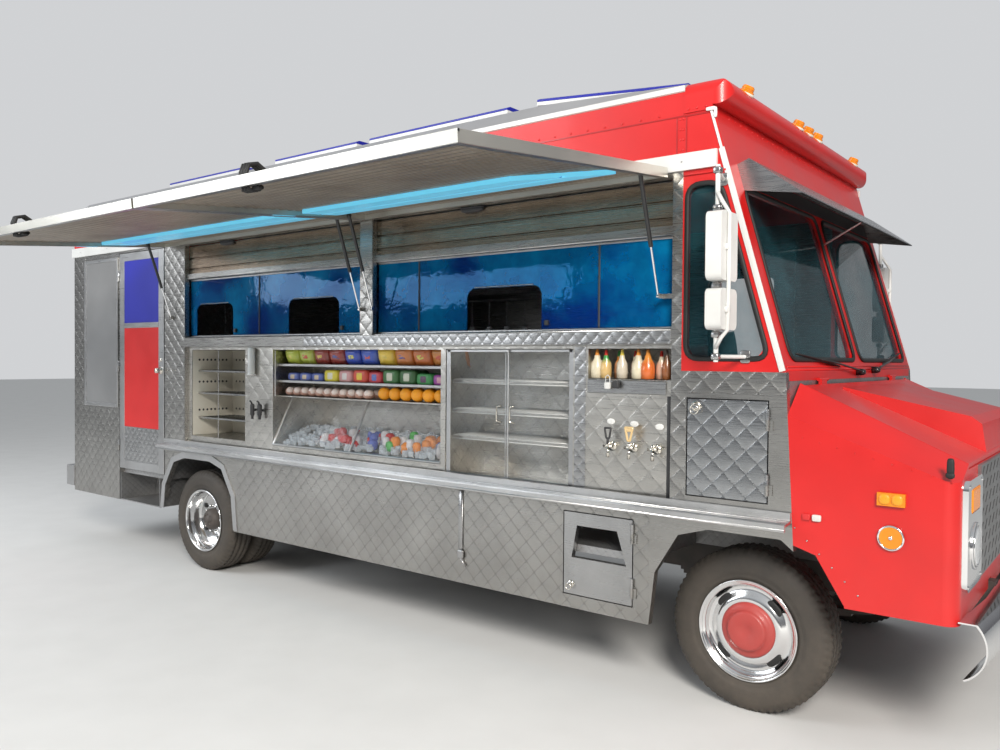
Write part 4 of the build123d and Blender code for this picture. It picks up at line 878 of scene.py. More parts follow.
def hatch_trim():
    """Folded header with its two dark creases, a silver lip below it, the sill's bead and the post's edges."""
    header, bright, sill = Batch(), Batch(), Batch()
    sill.plate((-3.15, BAY[1] - 0.003), (-1.2225, SKIN), (1.824, 1.886), 0.001)
    sill.flat("sill_strip", "kick_steel")
    run = (BAY[0] + 0.002, BAY[1] - 0.002)
    fold = ((0.0, 0.25), (0.010, 0.25), (0.010, 0.16), (0.002, 0.155), (0.002, 0.150), (0.012, 0.145), (0.012, 0.075),
            (0.003, 0.070), (0.003, 0.064), (0.010, 0.060), (0.010, 0.0), (0.0, 0.0))
    header.add(carried(fold, [(x, -1.168, 2.382) for x in run[::-1]]))
    # its brown colour is a painted reflection
    header.flat("header_fold", "header_brown")
    for radius, y, z in ((0.008, -1.180, 2.372), (0.006, -1.2, 1.892), (0.006, -1.19, 1.823)):
        bright.bar(run, y, z, radius)
    for x in (-2.575, -2.46):
        bright.bar(x, -1.2155, (SILL + 0.01, 2.36), 0.004, 8)
    bright.put("hatch_beads", "plain_steel")


def window_edges():
    """Alloy runners and cross bars of the sliding windows, their latches and their dark stiles."""
    edges, latches = Batch(), Batch()
    for x0, x1 in ((BAY[0], -2.575), (-2.46, BAY[1])):
        for z in (1.897, 2.352):
            edges.plate((x0 + 0.002, x1 - 0.002), (-1.170, PANES_Y), (z, z + 0.014))
    for x0, x1 in ((-4.58, -4.08), (-3.40, -2.85), (-1.70, -1.15)):
        edges.plate((x0 + 0.06, x1 - 0.06), (-1.166, PANES_Y), (2.162, 2.168))
        latches.lump((x1 + 0.0425, -1.1705, 1.945), (0.025, 0.019, 0.03), 0.3, 9, 16)
    for x in (-3.75, -2.10, -0.78):
        latches.plate((x, x + 0.012), (-1.166, PANES_Y), (1.911, 2.352))
    edges.flat("window_stiles", "trim_alloy")
    latches.flat("window_latches", "dash_plastic")


def kitchen_inside():
    """What shows through the passes: a hood, shelves with jars and cups, pots on the stove and hanging ladles."""
    metal, jars = Batch(), Batch()
    metal.plate((-4.4, -2.2), (0.72, 1.12), (2.30, 2.62))
    for z in (1.95, 2.22):
        metal.plate((-2.05, -1.45), (0.82, 1.10), (z, z + 0.012))
    metal.bar((-4.3, -2.3), 0.62, 2.24, 0.012)
    draws = np.random.default_rng(11)
    for x in np.arange(-4.1, -2.4, 0.19):
        metal.bar(x, 0.62, (2.235, 2.02), 0.005, 6)
        metal.lump((x, 0.62, 1.99), (0.075, 0.02, 0.09), 0.7, 7, 10)
    for k, x in enumerate(np.arange(-1.98, -1.5, 0.11)):
        shade = ((0.55, 0.10, 0.05), (0.75, 0.62, 0.35), (0.12, 0.30, 0.12), (0.65, 0.65, 0.62))[k % 4]
        for z in (1.962, 2.232):
            tall = draws.uniform(0.12, 0.2)
            jars.turned(((0, tall), (0.03, tall), (0.03, tall - 0.02), (0.042, tall - 0.03), (0.042, 0.005), (0, 0)),
                        (x, 1.0, z), "Z", [(0.7, 0.7, 0.7)] * 3 + [shade] * 3, 12)
    for x, y, wide, tall in ((-4.2, 0.86, 0.30, 0.22), (-3.7, 0.82, 0.36, 0.16), (-3.15, 0.88, 0.26, 0.26)):
        metal.turned(((0, 0), (wide / 2, 0), (wide / 2, tall), (wide / 2 + 0.008, tall), (0, tall - 0.01)),
                     (x, y, 1.645), "Z", steps=24)
    metal.flat("galley_steel", "plain_steel")
    jars.put("galley_jars", "carton")


def cold_cabinet():
    """Fridge bay: alloy door frames with D handles, white wire shelves and the quilted strip beside it."""
    x0, x1, z0, z1 = -1.84, -0.915, 1.02, 1.80
    middle = (x0 + x1) / 2
    frames, pulls, wires, strip = Batch(), Batch(), Batch(), Batch()
    foot, head = z0 + 0.004, z1 - 0.004
    for outer, inner, y, way in ((x0 + 0.006, middle + 0.018, -1.1885, 1), (x1 - 0.006, middle - 0.018, -1.1745, -1)):
        depth = (y, y + 0.0035)
        for x in ((outer, outer + 0.032 * way), (inner - 0.007 * way, inner)):
            frames.plate(sorted(x), depth, (foot, head))
        for z in ((foot, z0 + 0.036), (z1 - 0.020, head)):
            frames.plate(sorted((outer + 0.007 * way, inner - 0.007 * way)), depth, z)
    for x in (middle - 0.06, middle + 0.035):
        pulls.pipe(((x + 0.028, CASE_Y, 1.375), (x, -1.196, 1.380), (x, -1.197, 1.42), (x, -1.196, 1.465),
                    (x + 0.028, CASE_Y, 1.470)), 0.005)
    run, rear, front = (x0 + 0.01, x1 - 0.01), SHELF_BACK - 0.02, -1.125
    for z in (1.272, 1.432, 1.612):
        for y in (front, rear):
            wires.bar(run, y, z, 0.0035, 6)
        for x in np.arange(run[0] + 0.015, run[1], 0.03):
            wires.bar(x, (front, rear), z + 0.004, 0.0018, 4)
        wires.bar(run, -1.131, z - 0.018, 0.004, 6)
    strip.plate((x1 + 0.010, x1 + 0.082), (-1.1925, CASE_FACE), (1.03, 1.81))
    strip.flat("quilted_strip", "kick_steel")
    frames.flat("fridge_frames", "trim_alloy")
    pulls.put("fridge_pulls", "tap_metal")
    wires.put("fridge_wires", "white_paint")


def bag(batch, place, size, seed, shade):
    """A filled bag that leans back: its thickness follows (1 - u^4)(1 - v^4) to a small power, with wavy seams."""
    u, v = np.linspace(-1, 1, 9)[:, None], np.linspace(-1, 1, 11)[None, :]
    wave = np.random.default_rng(seed).normal(0, 0.05, (9, 11))
    full = np.clip((1 - u**4) * (1 - v**4), 0, 1) ** 0.6 * (1 + wave)
    for side in (1, -1):
        grid = np.stack([u * (1 - 0.06 * full), side * full, v * (1 - 0.05 * full)], -1) * np.asarray(size) / 2
        grid[..., 1] -= 0.3 * grid[..., 2]
        batch.add(grid + place, columns=False, tint=shade)


def display_goods():
    """Bags, packs, wrapped buns and oranges on the shelves of the open display, and ice with packs below."""
    bags, packs, fruit, ice = Batch(), Batch(), Batch(), Batch()
    top = ((0.50, 0.58, 0.06), (0.48, 0.55, 0.08), (0.30, 0.04, 0.03), (0.36, 0.05, 0.04), (0.03, 0.08, 0.50),
           (0.04, 0.10, 0.52), (0.78, 0.55, 0.06), (0.60, 0.20, 0.05), (0.58, 0.16, 0.04), (0.62, 0.24, 0.05))
    band = ((0.75, 0.70, 0.15), (0.65, 0.10, 0.05), (0.70, 0.55, 0.10), (0.10, 0.10, 0.35))
    for k, shade in enumerate(top):
        for row, y in enumerate((-1.075, -0.985)):
            place = (-3.43 + 0.163 * k + 0.05 * row, y, 1.746)
            bag(bags, place, (0.17, 0.085, 0.118), 20 + k, shade)
            bag(bags, place, (0.10, 0.089, 0.050), 40 + k, band[k % 4])
    blue_box = (0.13, 0.06, (0.10, 0.14, 0.42), (0.62, 0.50, 0.36))
    second = (  # wide, tall, colour and colour of the middle
        blue_box, blue_box, blue_box, (0.15, 0.085, (0.74, 0.62, 0.05), (0.72, 0.70, 0.55)),
        (0.14, 0.085, (0.66, 0.34, 0.34), (0.72, 0.68, 0.66)), (0.15, 0.09, (0.62, 0.08, 0.05), (0.74, 0.55, 0.06)),
        (0.13, 0.08, (0.55, 0.06, 0.08), (0.12, 0.18, 0.50)), (0.15, 0.095, (0.05, 0.16, 0.05), (0.60, 0.60, 0.50)),
        (0.15, 0.095, (0.04, 0.12, 0.04), (0.55, 0.58, 0.48)), (0.14, 0.075, (0.05, 0.26, 0.08), (0.10, 0.05, 0.10)),
        (0.13, 0.07, (0.34, 0.06, 0.34), (0.70, 0.35, 0.45)),
    )
    x = -3.47
    for wide, tall, shade, heart in second:
        for y in (-1.085, -1.0):
            place = (x + wide / 2, y, 1.569 + tall / 2)
            packs.lump(place, (wide - 0.006, 0.07, tall), 0.4, tint=shade)
            packs.lump(place, (wide * 0.5, 0.074, tall * 0.7), 0.4, tint=heart)
        x += wide + 0.005
    for k in range(11):
        for y in (-1.085, -1.0):
            place = np.array((-3.46 + 0.083 * k, y, 1.490))
            packs.lump(place, (0.080, 0.082, 0.060), 0.85, 8, 14, 0.3 * k, 0.03, 40 + k, tint=(0.46, 0.26, 0.20))
            packs.lump(place + (0.012, -0.012, 0.010), (0.062, 0.066, 0.048), 0.9, 8, 14, 0.5 * k, 0.05, 70 + k,
                       tint=(0.78, 0.66, 0.60))
    for k in range(6):
        for y in (-1.085, -0.995):
            place = (-2.475 + 0.101 * k + 0.03 * (y > -1.05), y, 1.503)
            fruit.lump(place, (0.092, 0.092, 0.088), 1.0, 11, 18, k, 0.006, 60 + k, tint=(0.90, 0.36, 0.015))
    draws = np.random.default_rng(8)
    iced = ((0.60, 0.03, 0.03), (0.72, 0.70, 0.72), (0.10, 0.14, 0.50), (0.10, 0.45, 0.10), (0.80, 0.28, 0.06))
    for middle, wide, choice in ((-3.0, 0.18, (0, 0, 1, 1)), (-2.62, 0.16, (1, 0, 2)), (-2.35, 0.12, (3, 1, 4)),
                                 (-2.12, 0.16, (4, 4, 1, 2))):
        for k in range(16):
            x, y = middle + draws.uniform(-wide, wide), draws.uniform(-1.10, -0.95)
            place = (x, y, 1.125 + 0.30 * (y + 1.12) + draws.uniform(0, 0.045))
            shade = iced[choice[int(draws.integers(len(choice)))]]
            size = (0.06, 0.055, 0.075) * draws.uniform(0.8, 1.15, 3)
            packs.lump(place, size, 0.7, 8, 12, float(draws.uniform(-0.6, 0.6)), 0.03, 90 + k, tint=shade)
    bags.put("snack_bags", "foil")
    packs.put("packed_goods", "carton")
    fruit.put("oranges", "food")
    for k in range(420):
        x, y = draws.uniform(-3.52, -1.9), draws.uniform(-1.155, -0.86)
        height = 1.108 + 0.35 * (y + 1.155) + draws.uniform(0, 0.02)
        ice.lump((x, y, height), draws.uniform(0.025, 0.045, 3), 0.35, 5, 6, draws.uniform(0, 3))
    ice.flat("ice", "ice")


def hot_cabinet():
    """Warm bay, empty: cream liner with rows of dark discs that stand in for its vent holes as painted shade, tray
    rails and the edge of its glass doors.
    """
    x0, x1, z0, z1 = -4.600, -3.880, 1.100, 1.795
    inside, upright = (x0 + 0.004, x1 - 0.002), (z0 + 0.002, z1 - 0.002)
    liner, rails, holes = Batch(), Batch(), Batch()
    liner.plate((x0 + 0.0005, x0 + 0.004), (-1.184, SHELF_BACK - 0.001), upright, 0.001)
    liner.plate(inside, (SHELF_BACK - 0.005, SHELF_BACK - 0.001), upright)
    liner.flat("warm_liner", "cream_trim")
    for z in (1.24, 1.44, 1.62):
        rails.plate(inside, (-1.137, -1.1305), (z - 0.004, z + 0.012))
        for x in np.arange(x0 + 0.05, x1 - 0.02, 0.06):
            rails.bar(x, (-1.130, SHELF_BACK - 0.01), z + 0.011, 0.003, 5)
    rails.plate((-4.243, -4.235), (-1.188, -1.183), upright)
    rails.flat("warm_rails", "plain_steel")
    # painted shade: dark discs where the vent holes show dark
    hole = ((0.0, 0.0012), (0.0085, 0.0012), (0.0095, 0.0))
    for z in (1.305, 1.535, 1.715):
        for y in np.arange(-1.125, -0.84, 0.036):
            holes.turned(hole, (x0 + 0.004, y, z), "X", steps=10)
        for x in np.arange(x0 + 0.06, x1 - 0.04, 0.05):
            holes.turned(hole, (x, SHELF_BACK - 0.005, z), steps=10)
    holes.put("warm_vent_shade", "dash_plastic")


TAP_Y, TAP_Z = -1.240, 1.325  # the drink taps' levers


def tap_loop(batch, x, wide, narrow, top, foot, radius, **how):
    """A tapered wire loop that stands on a drink tap."""
    corners = [(x - wide, TAP_Y, top), (x + wide, TAP_Y, top), (x + narrow, TAP_Y, foot), (x - narrow, TAP_Y, foot)]
    batch.add(bead(corners, 0.006, radius), rows=True, **how)


def fittings():
    """Coffee taps, cup tube, three drink taps with bare badges over them, sauce bottles and a padlock."""
    metal, black, white, badges, coloured, ledge, lock = (Batch() for _ in range(7))
    white.turned(((0.0, 0.205), (0.022, 0.205), (0.027, 0.195), (0.027, 0.012), (0.032, 0.008), (0.032, 0), (0, 0)),
                 (-3.765, -1.2165, 1.605), "Z", steps=24)
    white.put("cup_tube", "mirror_white")
    for x in (-3.745, -3.655):
        black.turned(((0, 0.05), (0.012, 0.05), (0.016, 0.04), (0.016, -0.03), (0.010, -0.038), (0.009, -0.062),
                      (0, -0.062)), (x, -1.222, 1.34), "Z", steps=14)
        black.bar(x, (CASE_Y, -1.222), 1.345, 0.010)
        black.pipe(((x, -1.224, 1.385), (x, -1.232, 1.405), (x, -1.246, 1.415)), 0.006)
    y, z = CASE_Y, 1.29
    for x in (-0.666, -0.542, -0.408):
        metal.turned(((0, 0.004), (0.026, 0.004), (0.026, 0.0), (0, 0)), (x, y, z))
        metal.pipe(((x, y, z), (x, y - 0.03, z), (x, y - 0.046, z - 0.006), (x, y - 0.05, z - 0.03),
                    (x, y - 0.05, z - 0.055)), 0.009)
        metal.lump((x, y - 0.04, z + 0.012), (0.026, 0.026, 0.03), 0.8)
        metal.bar((x - 0.03, x + 0.022), -1.232, 1.292, 0.009)
        metal.pipe(((x + 0.018, -1.232, 1.295), (x + 0.026, -1.236, 1.318)), 0.005)
    metal.put("taps", "tap_metal")
    for x, z in ((-0.675, 1.418), (-0.537, 1.412), (-0.393, 1.405)):
        badges.lump((x, CASE_Y - 0.003, z), (0.050, 0.006, 0.032), 1.0, 9, 28)
    badges.put("tap_badges", "mirror_white")
    black.bar(-0.666, TAP_Y, (TAP_Z - 0.02, TAP_Z + 0.01), 0.007)
    tap_loop(black, -0.666, 0.019, 0.009, TAP_Z + 0.062, TAP_Z + 0.008, 0.0055)
    # painted shade: a dark strip standing in for the shaded gap between the tap panel and its post
    black.plate((-0.353, -0.326), (-1.1955, CASE_FACE), (1.02, 1.56))
    black.lump((-0.635, -1.215, 1.612), (0.036, 0.024, 0.040), 0.4)
    black.put("tap_handles", "dash_plastic")
    tap_loop(coloured, -0.542, 0.022, 0.006, TAP_Z + 0.070, TAP_Z + 0.002, 0.0065, tint=(0.70, 0.50, 0.24))
    coloured.lump((-0.542, TAP_Y, TAP_Z + 0.058), (0.046, 0.012, 0.020), 0.6, tint=(0.70, 0.50, 0.24))
    ledge.plate((-0.822, -0.358), (-1.1970, CASE_FACE), (1.565, 1.637))
    ledge.flat("sauce_ledge", "plain_steel")
    orange, cream, red = (0.80, 0.30, 0.05), (0.76, 0.68, 0.50), (0.60, 0.03, 0.02)
    green, gold = (0.05, 0.32, 0.07), (0.80, 0.64, 0.10)
    bottles = (  # cap, neck, body, how wide and how far back
        (orange, cream, cream, 1.0, 0.0), (red, green, (0.74, 0.50, 0.20), 0.85, 0.0),
        (green, orange, (0.66, 0.32, 0.16), 0.75, 0.05), (gold, cream, (0.68, 0.60, 0.48), 0.85, 0.0),
        (red, cream, (0.55, 0.34, 0.26), 0.7, 0.05), (orange, cream, cream, 1.0, 0.0),
        (orange, orange, (0.72, 0.16, 0.03), 1.05, 0.0), (red, cream, (0.70, 0.42, 0.30), 0.85, 0.04),
        ((0.05, 0.04, 0.03), (0.2, 0.1, 0.05), (0.30, 0.10, 0.03), 0.7, 0.0),
    )
    squeeze = np.array(((0, 0.158), (0.008, 0.156), (0.012, 0.128), (0.016, 0.124), (0.017, 0.110), (0.033, 0.082),
                        (0.036, 0.045), (0.034, 0.004), (0, 0.0)))
    x = -0.792
    for cap, neck, body, wide, back in bottles:
        coloured.turned(squeeze * (wide, 0.94 if back else 0.985), (x, -1.145 + back, 1.641), "Z",
                        [cap] * 3 + [neck] * 2 + [body] * 4, 16)
        x += 0.034 * wide + 0.0215
    coloured.put("sauces", "foil")
    x, z = -0.686, 1.606
    lock.lump((x, -1.213, z), (0.034, 0.022, 0.036), 0.35, 9, 16)
    lock.pipe(((x - 0.012, -1.213, z + 0.01), (x - 0.014, -1.212, z + 0.045), (x, -1.211, z + 0.056),
               (x + 0.012, -1.212, z + 0.045), (x + 0.012, -1.213, z + 0.01)), 0.003)
    lock.put("padlock", "mirror_white")


def ice_frame():
    """White edges of the sloped ice glass and the rails of the display's shelves."""
    edges = Batch()
    low, high = (-1.188, 1.100), (-1.012, 1.446)
    for x in (-3.535, -2.71, -1.885):
        edges.pipe(((x, *low), (x, *high)), 0.009, 8)
    for y, z in (low, high):
        edges.bar((-3.54, -1.88), y, z, 0.009, 8)
    for z in (1.56, 1.68):
        edges.plate((-3.54, -1.88), (-1.137, -1.131), (z - 0.006, z + 0.014))
    for x in (-3.54, -1.885):
        edges.plate((x - 0.006, x + 0.006), (-1.175, -1.165), (1.45, 1.79))
    edges.flat("display_rails", "trim_alloy")


# Wheels
RIM, TYRE, TYRE_WIDE, TWIN = 0.248, 0.4055, 0.226, 0.261  # two radii, the width and the spacing of twins
FRONT_FACE, REAR_FACE = 1.015, 1.146  # how far out the rims' faces stand
SIDES = (("right", 1.0), ("left", -1.0))  # name and the way in Y towards the middle


def tread_tyre(face, flip):
    """One tyre as a ring of cross sections: three grooves round it and slots across both shoulders.

    The radius of a tread point is the plain radius less the groove depth, which is deep where the sine of
    the slot count times the turn is below a limit.
    """
    side = [(RIM + up, depth) for up, depth in (
        (0, 0.022), (0.004, 0.016), (0.022, 0.008), (0.030, 0.0095), (0.036, 0.004), (0.055, 0.001), (0.085, 0.0),
        (0.110, 0.004), (0.118, 0.008))]
    side += [(TYRE - 0.022, 0.016), (TYRE - 0.012, 0.025), (TYRE - 0.005, 0.034)]
    half = np.array(side + [(TYRE, d) for d in (0.038, 0.062, 0.064, 0.070, 0.072, 0.108, 0.110)])
    section = np.concatenate([half, half[::-1] * (1, -1) + (0, TYRE_WIDE)])
    depth = section[:, 1]
    edge = np.minimum(depth, TYRE_WIDE - depth)
    groove = 0.009 * (((edge >= 0.064) & (edge <= 0.070)) | (edge >= 0.110))
    shoulder = (edge >= 0.016) & (edge <= 0.062) & (section[:, 0] > TYRE - 0.03)
    rib = (edge >= 0.070) & (edge <= 0.109)
    a = np.linspace(0, 2 * pi, 288, endpoint=False)[:, None]
    slots = 0.006 * (np.sin(64 * a + 40 * edge[None]) < -0.45) * shoulder[None]
    sipes = 0.004 * (np.sin(72 * a + 60 * depth[None]) < -0.75) * rib[None]
    radius = section[None, :, 0] - groove[None] - slots - sipes
    y = flip * (depth[None] - face) * np.ones_like(a)
    return np.stack([radius * np.cos(a), y, AXLE_Z + radius * np.sin(a)], -1)


def tyres():
    """Treaded tyres in place of the plain ones."""
    for axle, x, face, count in (("front_tyre_", 0.0, FRONT_FACE, 1), ("rear_tyres_", -WHEELBASE, REAR_FACE, 2)):
        for side, flip in SIDES:
            name, piece = axle + side, Batch()
            for k in range(count):
                piece.add(tread_tyre(face - k * TWIN, flip) + (x, 0, 0), rows=True, columns=False)
            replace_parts(piece.put(name + "_tread", "tyre_rubber", name.replace("tyre", "wheel")), name)


def wheel_dress():
    """Chrome liners, lug nuts, hub caps, and dark lumps on the liners that stand in for the hand holes as painted
    shade.
    """
    lip = ((0.251, 0.010), (0.252, 0.005), (0.248, 0.002), (0.243, 0.004))
    front_skin = lip + ((0.238, 0.012), (0.228, 0.016), (0.222, 0.022), (0.219, 0.042), (0.205, 0.052), (0.188, 0.046),
                        (0.168, 0.030), (0.150, 0.023), (0.137, 0.026))
    rear_skin = lip + ((0.237, 0.012), (0.2345, 0.020), (0.2335, 0.060), (0.2345, 0.064), (0.2335, 0.068),
                       (0.2335, 0.140), (0.214, 0.147), (0.203, 0.122), (0.196, 0.1155), (0.128, 0.1155),
                       (0.120, 0.108), (0.090, 0.106))
    front_cap = ((0.0, -0.0065), (0.030, -0.0065), (0.034, -0.009), (0.086, -0.009), (0.091, -0.0075),
                 (0.0995, 0.001), (0.1015, 0.0085), (0.1225, 0.0125), (0.1355, 0.0210), (0.1375, 0.032))
    rear_cap = ((0.0, 0.040), (0.026, 0.040), (0.030, 0.0475), (0.061, 0.0480), (0.068, 0.053), (0.0865, 0.0735),
                (0.0885, 0.104))
    nuts = (10, 0.108, 0.107, ((0.0, -0.020), (0.010, -0.020), (0.0125, -0.014), (0.0125, 0.0)))
    bolts = (8, 0.046, 0.047, ((0.0, -0.006), (0.006, -0.006), (0.007, 0.0)))
    for axle, x, face, skin, cap, rings, cap_name, coat, (first, count, out, depth, *hole) in (
        ("front_wheel_", 0.0, FRONT_FACE, front_skin, front_cap, (), "_cap", "wheel_coral",
         (pi / 4, 4, 0.180, 0.0385, (0.090, 0.012, 0.044), 0.85, 9, 24)),
        ("rear_wheels_", -WHEELBASE, REAR_FACE, rear_skin, rear_cap, (nuts, bolts), "_hub", "chassis_black",
         (0.0, -5, 0.165, 0.1150, (0.044, 0.006, 0.038), 1.0, 9, 20)),
    ):
        for side, flip in SIDES:
            body = axle + side
            liner, caps, dark = Batch(), Batch(), Batch()
            for batch, profile, steps in ((liner, skin, 96), (caps, cap, 48)):
                batch.turned(profile, (x, -flip * face, AXLE_Z), steps=steps, flip=flip)
            for batch, (many, radius, back, profile) in zip((liner, caps), rings):
                for a in 2 * pi * np.arange(many) / many:
                    place = (x + radius * cos(a), flip * (back - face), AXLE_Z + radius * sin(a))
                    batch.turned(profile, place, steps=6, flip=flip)
            # painted shade: dark lumps where the hand holes show dark
            for a in first + 2 * pi * np.arange(abs(count)) / count:
                turn = np.array([(-sin(a), 0, cos(a)), (0, 1, 0), (cos(a), 0, sin(a))])
                spot = (x + out * cos(a), flip * (depth - face), AXLE_Z + out * sin(a))
                dark.add(lump((0, 0, 0), *hole) @ turn + spot)
            liner.put(body + "_liner", "wheel_chrome", body)
            caps.put(body + cap_name, coat, body)
            dark.put(body + "_hole_shade", "rubber_trim", body)


# Cab and nose
NOSE_X, LAMP_Y, LAMP_Z = 0.960, 0.985, 0.967  # the nose's face and the headlamps' middles


def gaskets():
    """Black rubber round the windscreen panes, the side panes and the window of the cab door."""
    rubber, door = Batch(), Batch()
    corners = [(on_face(z) + 0.003, y, z) for y, z in ((0.05, 1.75), (1.112, 1.75), (1.112, 2.57), (0.05, 2.57))]
    rubber.pair(bead(corners, 0.07, 0.013, 8, 0.6), rows=True)
    low, high = on_face(1.75) - 0.062, on_face(2.595) - 0.062
    corners = [(x, -1.2215, z) for x, z in ((-0.244, 1.75), (low, 1.75), (high, 2.595), (-0.244, 2.595))]
    rubber.pair(bead(corners, 0.07, 0.013, 8, 0.6), rows=True)
    rubber.put("gaskets", "rubber_trim")
    corners = [(x, 1.1738, z) for x, z in ((-1.19, 1.70), (-0.67, 1.70), (-0.67, 2.38), (-1.19, 2.38))]
    door.add(bead(corners, 0.06, 0.011, 8, 0.06), rows=True)
    door.put("cab_door_rubber", "rubber_trim", "cab_door")


def pad(deep, width, thick, channels):
    """Crowned closed pad, its depth, width and thickness along X, Y and Z, and the loop of its middle seam.

    Half the thickness is the root of a fourth-power bulge that falls to nothing at each side, less an exponential
    groove at each sewn channel, and each side pulls in between its corners by a cosine.
    """
    a = np.sin(np.linspace(-pi / 2, pi / 2, 33))[:, None]
    b = np.sin(np.linspace(-pi / 2, pi / 2, 65))[None, :]
    bulge = np.maximum((1 - a**4) * (1 - b**4), 0) ** 0.4
    groove = 0.12 * np.exp(-((np.cos(channels * pi * b / 2) / 0.2) ** 2)) * (1 - a**8)
    high = thick / 2 * bulge * (1 - groove)
    x = deep / 2 * a * (1 - 0.04 * np.cos(b * pi / 2))
    y = width / 2 * b * (1 - 0.03 * np.cos(a * pi / 2))
    top, under = np.stack([x, y, high], -1), np.stack([x, y, -0.85 * high], -1)
    seam = np.concatenate([top[0], top[1:, -1], top[-1, -2::-1], top[-2:0:-1, 0]])
    return np.concatenate([top, under[-2:0:-1]]), seam


def driver_seat():
    """Crowned cushion and raked back with a welt round each seam, on a pedestal with slide rails and a lever."""
    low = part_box("cab_seat")[0][2]
    for name, size, centre in (("seat_cushion", (0.44, 0.436, 0.118), (-0.570, 0.575, 1.141)),
                               ("seat_back", (0.74, 0.436, 0.092), (-0.790, 0.575, 1.580))):
        piece = Batch()
        grid, seam = pad(*size, 4)
        if name == "seat_back":
            grid, seam = (np.stack([-p[..., 2] - 0.112 * p[..., 0], p[..., 1], p[..., 0]], -1) for p in (grid, seam))
        piece.add(grid + centre, rows=True, columns=False)
        piece.add(loop_tube(seam + centre, 0.004), rows=True)
        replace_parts(piece.put(name, "seat_vinyl"), "cab_seat")
    base = Batch()
    base.plate((-0.76, -0.51), (0.40, 0.72), (low, 1.05), 0.012)
    for y in (0.42, 0.68):
        base.plate((-0.79, -0.38), (y, y + 0.03), (1.048, 1.098), 0.005)
    base.pipe(((-0.42, 0.45, 1.060), (-0.360, 0.45, 1.056), (-0.350, 0.45, 1.066)), 0.006)
    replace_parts(base.flat("seat_pedestal", "chassis_black"), "cab_seat")


def pillar_strips():
    """White corner strips down the raked front edges of the cab and the rain gutters over its side windows."""
    strip, red = Batch(), Batch()
    for low, high, half in ((1.695, 2.752, 0.014), (2.752, 2.935, 0.006)):
        profile = ((0.0, -half), (0.005, -half), (0.006, 0.0), (0.005, half), (0.0, half))
        strip.pair(carried(profile, [(on_face(z) - 0.013, PROUD, z) for z in (low, high)]))
    strip.pair(lump((on_face(2.945) - 0.012, -1.226, 2.945), (0.050, 0.012, 0.018), 0.5))
    strip.pair(lump((on_face(2.92) + 0.004, -1.226, 2.925), (0.016, 0.012, 0.050), 0.5))
    strip.flat("pillar_strips", "white_paint")
    red.pair(plate((-0.262, on_face(2.64) - 0.02), (-1.229, PROUD), (2.640, 2.652)))
    for z in (1.700, 1.716):
        red.bar(on_face(z) + 0.001, (-1.19, 1.19), z, 0.0045, 6)
    red.put("cab_gutters", "red_paint")


def wipers():
    """Two wipers resting along the foot of the windscreen: pivots, sprung arms and bowed blades."""
    arms, blades = Batch(), Batch()
    lift, off = np.array([0.030, 0, 0.006]), np.array([0.004, 0, 0])
    for pivot, tip in (((0.252, -0.076, 1.684), (0.225, -1.029, 1.776)), ((0.249, 0.25, 1.694), (0.215, 1.05, 1.800))):
        pivot = np.array(pivot)
        way = tip - pivot
        arms.turned(((0, 0.045), (0.012, 0.045), (0.018, 0.034), (0.02, 0.0), (0, 0.0)), pivot, "X")
        arms.pipe([pivot + (0.032, 0, 0), pivot + 0.12 * way + lift, pivot + 0.45 * way + 1.1 * lift,
                   pivot + 0.68 * way + 0.75 * lift], 0.0055)
        shares = np.linspace(0.34, 1.0, 7)
        blades.pipe([pivot + s * way + lift * (0.25 + 0.45 * (1 - abs(2 * (s - 0.34) / 0.66 - 1))) for s in shares],
                    0.0045)
        blades.pipe([pivot + s * way + off for s in shares], 0.0035)
        for s in (0.40, 0.60, 0.76, 0.94):
            foot = pivot + s * way
            blades.pipe((foot + off, foot + 0.45 * lift), 0.003, 6)
    arms.put("wiper_arms", "strut_black")
    blades.put("wiper_blades", "rubber_trim")


